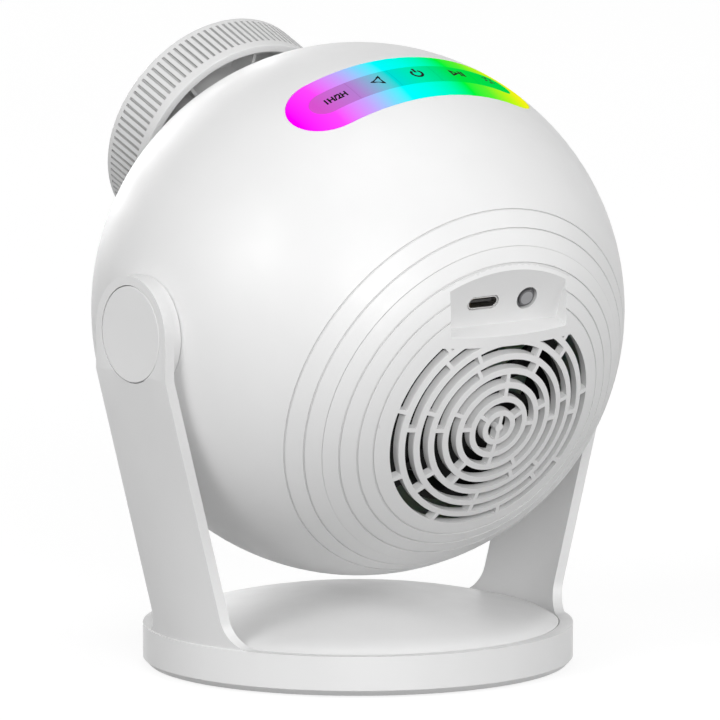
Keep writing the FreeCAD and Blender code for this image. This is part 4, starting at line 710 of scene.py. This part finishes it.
def wrap_on_panel(name, work, material, lift):
    """Lay the flat sheet of marks on the key panel as a thin printed layer."""
    bmesh.ops.remove_doubles(work, verts=work.verts, dist=OWN_MERGE * MM)
    bmesh.ops.recalc_face_normals(work, faces=work.faces)
    for face in work.faces:
        if face.normal.z < 0:
            face.normal_flip()
    made = bmesh.ops.extrude_face_region(work, geom=list(work.faces))["geom"]
    upper = [item for item in made if isinstance(item, bmesh.types.BMVert)]
    bmesh.ops.translate(work, vec=(0, 0, lift + PRINT_SUNK), verts=upper)
    bmesh.ops.recalc_face_normals(work, faces=work.faces)
    for vertex in work.verts:
        across, along, above = -vertex.co.x, vertex.co.y, vertex.co.z - PRINT_SUNK
        high = math.sqrt(BALL_RADIUS ** 2 - across ** 2 - along ** 2)
        vertex.co = BALL_FRAME @ (Vector((across, high, along)) * (1 + above / BALL_RADIUS))
    thing = shaped(name, work)
    paint(thing, material)
    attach(thing, "ball")


# ---------------------------------------------------------------- operators

class OBJECT_OT_projector_stand(bpy.types.Operator):
    """Add the stand: yoke, base dome, bottom plate, pad and pivots"""
    bl_idname = "object.projector_stand"
    bl_label = "Stand"

    def execute(self, context):
        shell = context.scene.projector_shell
        white = moulded("White Stand", shell.white, 0.36)
        smooth_copy("stand_fork", "stand_yoke", white, shell.arm_round)
        smooth_copy("stand_dome", "base_dome", white, shell.edge_round)
        smooth_copy("stand_underside", "base_plate", white, shell.edge_round)
        smooth_copy("pivot_covers", "pivot_caps", white, shell.edge_round)
        smooth_copy("anti_slip_pad", "foot_pad", rubber("Black Rubber"), shell.edge_round)
        paint_nodes(brushed("Zinc Plate", (0.6, 0.61, 0.62), 0.35), "ballast_plate")
        paint_nodes(brushed("Plated Screws", (0.55, 0.55, 0.54), 0.3), "base_screws", "frame_screws",
                    "heat_sink_screws", "fan_screws")
        paint_nodes(brushed("Bright Steel", (0.6, 0.6, 0.6), 0.25), "pivot_pins", "pivot_nuts",
                    "motor_shaft")
        paint_nodes(moulded("Nylon", (0.7, 0.69, 0.64), 0.5), "pivot_washers")
        return {"FINISHED"}


class OBJECT_OT_projector_ball(bpy.types.Operator):
    """Add the ball's shell, rear cover and front bezel"""
    bl_idname = "object.projector_ball"
    bl_label = "Ball"

    def execute(self, context):
        shell = context.scene.projector_shell
        white = moulded("White Ball", shell.white, 0.45)
        # Painted shade: the grooves get a darker white, for the shade that falls in them
        shadow = moulded("Groove Painted Shade", shade(shell.white, shell.groove_painted_shade), 0.6)
        in_groove = groove_test()
        near_groove = groove_test(GROOVE_CLEAR)

        def share(point):
            """The edges of the grooves stay sharp."""
            return 0.0 if near_groove(point) else 1.0

        ball = smooth_copy("ball_skin", "ball_shell", white, shell.fine_round, 0, share)
        cover = smooth_copy("grille_cover", "rear_cover", white, shell.fine_round, 0.02, share)
        # Paint the shade into the grooves of the ball and the cover
        tint_faces(ball, shadow, in_groove)
        tint_faces(cover, shadow, in_groove)
        black = moulded("Bezel Black", (0.03, 0.03, 0.032), 0.5)
        smooth_copy("lens_bezel", "front_bezel", black, shell.edge_round)
        return {"FINISHED"}


class OBJECT_OT_projector_focus(bpy.types.Operator):
    """Add the focus ring and the lens"""
    bl_idname = "object.projector_focus"
    bl_label = "Focus ring and lens"

    def execute(self, context):
        shell = context.scene.projector_shell
        grey = moulded("Ring Grey", shell.ring_grey, 0.45)
        # Painted shade: the knurl grooves get a darker grey, for the shade that falls in them
        dark = moulded("Knurl Painted Shade", shade(shell.ring_grey, shell.knurl_painted_shade), 0.6)
        black = moulded("Lens Black", (0.02, 0.02, 0.022), 0.55)
        self.add_ring(grey, dark)
        smooth_copy("lens_tube", "lens_barrel", black, shell.fine_round)
        front = coated_glass("Coated Glass", (0.97, 0.98, 1.0), (0.78, 0.72, 1.0))
        smooth_copy("lens_front_glass", "lens_front", front)
        rear = coated_glass("Rear Glass", (0.97, 0.99, 1.0), (0.75, 0.95, 0.85))
        smooth_copy("lens_rear_glass", "lens_rear", rear)
        smooth_copy("lens_clamp", "lens_retainer", black, shell.fine_round)
        return {"FINISHED"}

    def add_ring(self, grey, dark):
        """Turn the ring's section about the lens axis, then sink the knurl grooves and add the ribs."""
        places = [in_ball(vertex.co) for vertex in NODES["focus_ring"].data.vertices]
        rear = min(place.z for place in places) + LIP_SLOPE
        front = max(place.z for place in places)
        rise = (min(place.y for place in places) + max(place.y for place in places)) / 2
        work = bmesh.new()
        section = [work.verts.new((across, 0, along)) for across, along in ring_section(rear, front)]
        edges = [work.edges.new((section[place - 1], section[place])) for place in range(len(section))]
        bmesh.ops.spin(work, geom=section + edges, cent=(0, 0, 0), axis=(0, 0, 1), use_merge=True,
                       angle=math.tau, steps=KNURLS * KNURL_STEPS)
        bmesh.ops.remove_doubles(work, verts=work.verts, dist=OWN_MERGE)
        bmesh.ops.recalc_face_normals(work, faces=work.faces)
        self.sink_knurls(work, (rear + front) / 2)
        for turn in range(RIBS):
            self.add_rib(work, math.radians(RIB_TURN + turn * 360 / RIBS), rear, front)
        for edge in work.edges:
            edge.smooth = edge.calc_face_angle(0) < SHARP_ANGLE
        for face in work.faces:
            face.smooth = True
        on_axis = Matrix.Translation((0, rise, 0))
        bmesh.ops.transform(work, matrix=BALL_FRAME @ Matrix.Scale(MM, 4) @ on_axis, verts=work.verts)
        ring = shaped("focus_knob", work)
        ring.data.materials.append(grey)
        ring.data.materials.append(dark)
        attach(ring, "focus")
        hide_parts("focus_ring")

    def sink_knurls(self, work, middle):
        """Sink the first of each knurl's faces on the ring's outer band, with sloping walls, and give
        them the darker grey of painted shade.
        """
        band = []
        for face in work.faces:
            centre = face.calc_center_median()
            if abs(centre.z - middle) < BAND_REACH and from_axis(centre) > RING_RADIUS - BAND_DEPTH:
                band.append((math.atan2(centre.y, centre.x), face))
        band.sort(key=lambda item: item[0])
        grooves = []
        for place, (angle, face) in enumerate(band):
            if place % KNURL_STEPS < KNURL_SUNK_STEPS:
                grooves.append(face)
        walls = bmesh.ops.inset_region(work, faces=grooves, thickness=KNURL_SLOPE, depth=-KNURL_DEPTH,
                                       use_even_offset=True)["faces"]
        # Painted shade: the sunk faces and their walls take the darker grey
        for face in grooves + walls:
            face.material_index = 1

    def add_rib(self, work, angle, rear, front):
        """A thin wall between the ring and its hub."""
        bar = bmesh.ops.create_cube(work, size=1)["verts"]
        low = rear + KNURL_START + RIB_WALL
        high = front - WEB_SUNK - WEB_WALL / 2
        inner = HUB_RADIUS + HUB_WALL / 2
        outer = RING_RADIUS - RING_WALL / 2
        size = Matrix.Diagonal((outer - inner, RIB_WALL, high - low, 1))
        middle = Matrix.Translation(((outer + inner) / 2, 0, (high + low) / 2))
        bmesh.ops.transform(work, matrix=Matrix.Rotation(angle, 4, "Z") @ middle @ size, verts=bar)


class OBJECT_OT_projector_strip(bpy.types.Operator):
    """Add the glowing touch strip, its key panel and the printed marks"""
    bl_idname = "object.projector_strip"
    bl_label = "Touch strip"

    def execute(self, context):
        strip = context.scene.projector_strip
        shell = context.scene.projector_shell
        band = rainbow("Glowing Acrylic", STRIP_COLOURS, strip)
        smooth_copy("strip_light", "light_guide", band, shell.fine_round)
        keys = rainbow("Key Panel Acrylic", PANEL_COLOURS, strip)
        smooth_copy("key_panel", "touch_panel", keys, shell.fine_round)
        self.add_dividers(strip)
        self.add_marks(strip)
        return {"FINISHED"}

    def add_dividers(self, strip):
        """The lines between the keys, a little darker than the panel."""
        work = bmesh.new()
        for across in KEY_LINES:
            start = on_sheet(across, KEY_MIDDLE - KEY_REACH)
            end = on_sheet(across, KEY_MIDDLE + KEY_REACH)
            stroke(work, start, end, strip.divider_width)
        dim = rainbow("Key Line", PANEL_COLOURS, strip, 0.15)
        wrap_on_panel("key_dividers", work, dim, DIVIDER_LIFT)

    def add_marks(self, strip):
        """The signs of the keys, left to right: timer, back, power, forward and star."""
        tall = strip.mark_height
        line = strip.line_width
        work = bmesh.new()
        word_mark(work, "1H/2H", on_sheet(*TIMER_SIGN), TIMER_WIDTH * MM, tall * TIMER_HEIGHT)
        triangle_mark(work, on_sheet(*BACK_SIGN), tall * BACK_HEIGHT, line * BACK_LINE, True)
        self.add_power(work, tall / 2, line)
        self.add_forward(work, tall * FORWARD_HEIGHT, line * FORWARD_LINE)
        self.add_star(work, on_sheet(*STAR_SIGN), tall / 2, line)
        wrap_on_panel("key_marks", work, ink("Printed Black"), MARK_LIFT)

    def add_power(self, work, reach, width):
        """A ring with a gap, and a bar that stands in it."""
        arc_mark(work, on_sheet(*POWER_SIGN), reach, width, POWER_GAP)
        across = POWER_SIGN[0] * MM
        stroke(work, (across, POWER_BAR_LOW * MM), (across, reach + POWER_BAR_OUT * MM), width)

    def add_forward(self, work, height, width):
        """A triangle and two bars."""
        triangle_mark(work, on_sheet(*FORWARD_SIGN), height, width, False)
        for right in FORWARD_BARS:
            stroke(work, on_sheet(right, FORWARD_BAR_LOW), on_sheet(right, FORWARD_BAR_HIGH), width)

    def add_star(self, work, centre, reach, width):
        """Short rays about a point, the first at half a step."""
        middle = Vector(centre)
        for turn in range(STAR_RAYS):
            angle = math.radians((turn + 0.5) * 360 / STAR_RAYS)
            arm = Vector((math.cos(angle), math.sin(angle)))
            stroke(work, middle + arm * width, middle + arm * reach, width * STAR_LINE)


class OBJECT_OT_projector_socket(bpy.types.Operator):
    """Add the power socket with its contacts, and the button"""
    bl_idname = "object.projector_socket"
    bl_label = "Socket and button"

    def execute(self, context):
        shell = context.scene.projector_shell
        nickel = brushed("Nickel", (0.5, 0.495, 0.49), 0.32)
        socket = smooth_copy("power_socket", "usb_socket", nickel, SOCKET_ROUND * MM)
        low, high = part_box("usb_socket")
        middle = in_ball((low + high) / 2)
        tint_faces(socket, moulded("Tongue Black", (0.02, 0.02, 0.02), 0.45),
                   lambda point: self.on_tongue(in_ball(point) - middle))
        self.add_contacts(socket, middle)
        dark = moulded("Button Collar", shell.button_collar, 0.45)
        cap = smooth_copy("button_cap", "push_button", dark, shell.fine_round)
        self.dish_cap(cap, moulded("Button Grey", shell.button_grey, 0.4))
        return {"FINISHED"}

    def on_tongue(self, offset):
        """Whether a point lies on the contact tongue, from its offset from the socket's middle."""
        return abs(offset.x) < TONGUE_REACH_X and abs(offset.y) < TONGUE_REACH_Y

    def add_contacts(self, socket, middle):
        """Gilt contacts in a row on each side of the tongue."""
        mouth = min(in_ball(vertex.co).z for vertex in socket.data.vertices)
        size = Matrix.Diagonal((*(length * MM for length in CONTACT_SIZE), 1))
        work = bmesh.new()
        for side in (-1, 1):
            for place in range(CONTACTS):
                across = middle.x + (place - (CONTACTS - 1) / 2) * CONTACT_PITCH
                above = middle.y + side * CONTACT_HEIGHT
                centre = Vector((across, above, mouth + CONTACT_SET_BACK)) * MM
                bar = bmesh.ops.create_cube(work, size=1)["verts"]
                matrix = BALL_FRAME @ Matrix.Translation(centre) @ size
                bmesh.ops.transform(work, matrix=matrix, verts=bar)
        thing = shaped("socket_contacts", work)
        paint(thing, brushed("Gilt Contacts", (0.7, 0.5, 0.2), 0.25))
        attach(thing, "ball")

    def dish_cap(self, cap, grey):
        """Set a paler disc into the button's face."""
        cap.data.materials.append(grey)
        work = bmesh.new()
        work.from_mesh(cap.data)
        face = min(work.faces, key=lambda item: in_ball(item.calc_center_median()).z)
        bmesh.ops.inset_region(work, faces=[face], thickness=BUTTON_RIM * MM, use_even_offset=True)
        face.material_index = 1
        work.to_mesh(cap.data)
        work.free()


class OBJECT_OT_projector_inside(bpy.types.Operator):
    """Finish the pieces inside the ball"""
    bl_idname = "object.projector_inside"
    bl_label = "Inside"

    def execute(self, context):
        paint_nodes(moulded("Frame Grey", (0.1, 0.1, 0.105), 0.5), "optics_frame", "disc_clip")
        fan = moulded("Fan Black", (0.008, 0.008, 0.008), 0.5, shine=0.2)
        paint_nodes(fan, "fan_frame", "fan_impeller")
        paint_nodes(circuit_board("Circuit Board"), "main_board", "touch_board", "led_board")
        chip = moulded("Chip Black", (0.02, 0.02, 0.022), 0.5, 9000.0)
        paint_nodes(chip, "board_chips", "tact_switch")
        paint_nodes(moulded("Gear White", (0.75, 0.75, 0.72), 0.4), "disc_carrier", "drive_pinion")
        paint_nodes(moulded("Lamp Phosphor", (0.85, 0.68, 0.12), 0.5), "strip_leds", "led_emitter")
        paint_nodes(star_film("Star Film"), "star_disc")
        condenser = coated_glass("Condenser Glass", (0.98, 0.99, 1.0), (0.7, 0.8, 0.9))
        paint_nodes(condenser, "condenser_lens")
        paint_nodes(brushed("Anodised Aluminium", (0.7, 0.71, 0.72), 0.35), "heat_sink")
        paint_nodes(brushed("Motor Can", (0.5, 0.5, 0.49), 0.3), "drive_motor")
        return {"FINISHED"}


def seen_or_lit(tree):
    """One where a camera, mirror or glass ray meets the surface, nought for light."""
    path = tree.nodes.new("ShaderNodeLightPath")
    total = path.outputs["Is Camera Ray"]
    for name in ("Is Glossy Ray", "Is Transmission Ray"):
        add = tree.nodes.new("ShaderNodeMath")
        add.operation = "MAXIMUM"
        tree.links.new(total, add.inputs[0])
        tree.links.new(path.outputs[name], add.inputs[1])
        total = add.outputs[0]
    return total


def sky_strength(tree, low, high):
    """Light that grows from the horizon to the zenith, and shows as white."""
    split = tree.nodes.new("ShaderNodeSeparateXYZ")
    tree.links.new(tree.nodes.new("ShaderNodeTexCoord").outputs["Generated"], split.inputs["Vector"])
    light = spread(tree, split.outputs["Z"], low, high, 0, 1)
    node = tree.nodes.new("ShaderNodeMapRange")
    tree.links.new(light, node.inputs["To Min"])
    tree.links.new(seen_or_lit(tree), node.inputs["Value"])
    return node.outputs["Result"]


def floor_material(tone_level):
    """Pale floor that keeps a soft shadow and shows near white."""
    material, tree, shader = new_material("Pale Floor")
    tone = spread(tree, noise(tree, 6.0), 0, 1)
    pale = (tone_level,) * 3
    tree.links.new(two_tone(tree, tone, pale, shade(pale, 1.03)), shader.inputs["Base Color"])
    shader.inputs["Roughness"].default_value = 1.0
    shader.inputs["Specular IOR Level"].default_value = 0.0
    shader.inputs["Emission Color"].default_value = (1, 1, 1, 1)
    glow = tree.nodes.new("ShaderNodeMath")
    glow.operation = "MULTIPLY"
    glow.inputs[1].default_value = 1 - tone_level * FLOOR_FADE
    tree.links.new(seen_or_lit(tree), glow.inputs[0])
    tree.links.new(glow.outputs[0], shader.inputs["Emission Strength"])
    return material


# Lamps: name, how far to the camera's right, above the ball and towards the camera, share of the power
LAMPS = (
    ("lamp_left", -0.95, 0.62, 0.85, 0.22),
    ("lamp_front", 0.15, 0.12, 1.0, 0.34),
    ("lamp_side", 1.0, 0.3, 0.1, 0.14),
    ("lamp_top", 0.1, 1.0, 0.15, 0.09),
    ("lamp_back", -0.35, 0.25, -1.0, 0.21),
)


def lamp(name, direction, stage, share):
    """A square area lamp that faces the ball."""
    data = bpy.data.lights.new(name, "AREA")
    data.energy = stage.lamp_power * share
    data.size = stage.lamp_side
    thing = link(name, data)
    thing.location = BALL_CENTRE + direction.normalized() * stage.lamp_reach
    thing.rotation_euler = direction.to_track_quat("Z", "Y").to_euler()


def camera_axes(azimuth, elevation):
    """Directions to the camera, to its right and up."""
    turn = math.radians(azimuth)
    rise = math.radians(elevation)
    back = Vector((math.sin(turn) * math.cos(rise), -math.cos(turn) * math.cos(rise), math.sin(rise)))
    right = Vector((math.cos(turn), math.sin(turn), 0))
    return back, right, back.cross(right)


class OBJECT_OT_projector_stage(bpy.types.Operator):
    """Add the floor, the lamps and the camera"""
    bl_idname = "object.projector_stage"
    bl_label = "Stage"

    def execute(self, context):
        stage = context.scene.projector_stage
        back, right, up = camera_axes(CAMERA_AZIMUTH, CAMERA_ELEVATION)
        self.add_floor(stage)
        above = Vector((0, 0, 1))
        for name, across, high, near, share in LAMPS:
            lamp(name, right * across + above * high + back * near, stage, share)
        self.add_sky(context.scene, stage)
        self.add_camera(context.scene, back, right, up)
        context.scene.view_settings.view_transform = "Standard"
        return {"FINISHED"}

    def add_floor(self, stage):
        work = bmesh.new()
        bmesh.ops.create_grid(work, x_segments=8, y_segments=8, size=stage.floor_size / 2)
        floor = shaped("floor", work)
        floor.data.transform(Matrix.Translation((0, 0, -FLOOR_DROP * MM)))
        paint(floor, floor_material(stage.floor_shade))

    def add_sky(self, scene, stage):
        world = bpy.data.worlds.new("Soft Light")
        scene.world = world
        world.use_nodes = True
        tree = world.node_tree
        background = tree.nodes["Background"]
        background.inputs["Color"].default_value = (1, 1, 1, 1)
        strength = sky_strength(tree, stage.sky_low, stage.sky_high)
        tree.links.new(strength, background.inputs["Strength"])

    def add_camera(self, scene, back, right, up):
        data = bpy.data.cameras.new("camera")
        data.sensor_width = 36
        data.lens = CAMERA_LENS
        data.clip_end = 100
        camera = link("camera", data)
        aside = right * CAMERA_RIGHT * MM
        camera.location = BALL_CENTRE + back * CAMERA_DISTANCE + aside - up * CAMERA_DOWN * MM
        camera.rotation_euler = back.to_track_quat("Z", "Y").to_euler()
        scene.camera = camera


class VIEW3D_PT_projector(bpy.types.Panel):
    """Buttons that add the projector's pieces"""
    bl_label = "Planetarium Projector"
    bl_idname = "VIEW3D_PT_projector"
    bl_space_type = "VIEW_3D"
    bl_region_type = "UI"
    bl_category = "Projector"

    def draw(self, context):
        scene = context.scene
        for group in (scene.projector_shell, scene.projector_strip, scene.projector_stage):
            box = self.layout.box()
            for name in group.bl_rna.properties.keys():
                if name not in ("rna_type", "name"):
                    box.prop(group, name)
        for operator in OPERATORS:
            self.layout.operator(operator.bl_idname)


OPERATORS = (
    OBJECT_OT_projector_stand,
    OBJECT_OT_projector_ball,
    OBJECT_OT_projector_focus,
    OBJECT_OT_projector_strip,
    OBJECT_OT_projector_socket,
    OBJECT_OT_projector_inside,
    OBJECT_OT_projector_stage,
)
CLASSES = (ShellSettings, StripSettings, StageSettings) + OPERATORS + (VIEW3D_PT_projector,)


def register():
    for item in CLASSES:
        bpy.utils.register_class(item)
    bpy.types.Scene.projector_shell = PointerProperty(type=ShellSettings)
    bpy.types.Scene.projector_strip = PointerProperty(type=StripSettings)
    bpy.types.Scene.projector_stage = PointerProperty(type=StageSettings)


def unregister():
    del bpy.types.Scene.projector_stage
    del bpy.types.Scene.projector_strip
    del bpy.types.Scene.projector_shell
    for item in reversed(CLASSES):
        bpy.utils.unregister_class(item)


def main():
    register()
    bpy.ops.object.projector_stand()
    bpy.ops.object.projector_ball()
    bpy.ops.object.projector_focus()
    bpy.ops.object.projector_strip()
    bpy.ops.object.projector_socket()
    bpy.ops.object.projector_inside()
    bpy.ops.object.projector_stage()


if __name__ == "__main__":
    main()
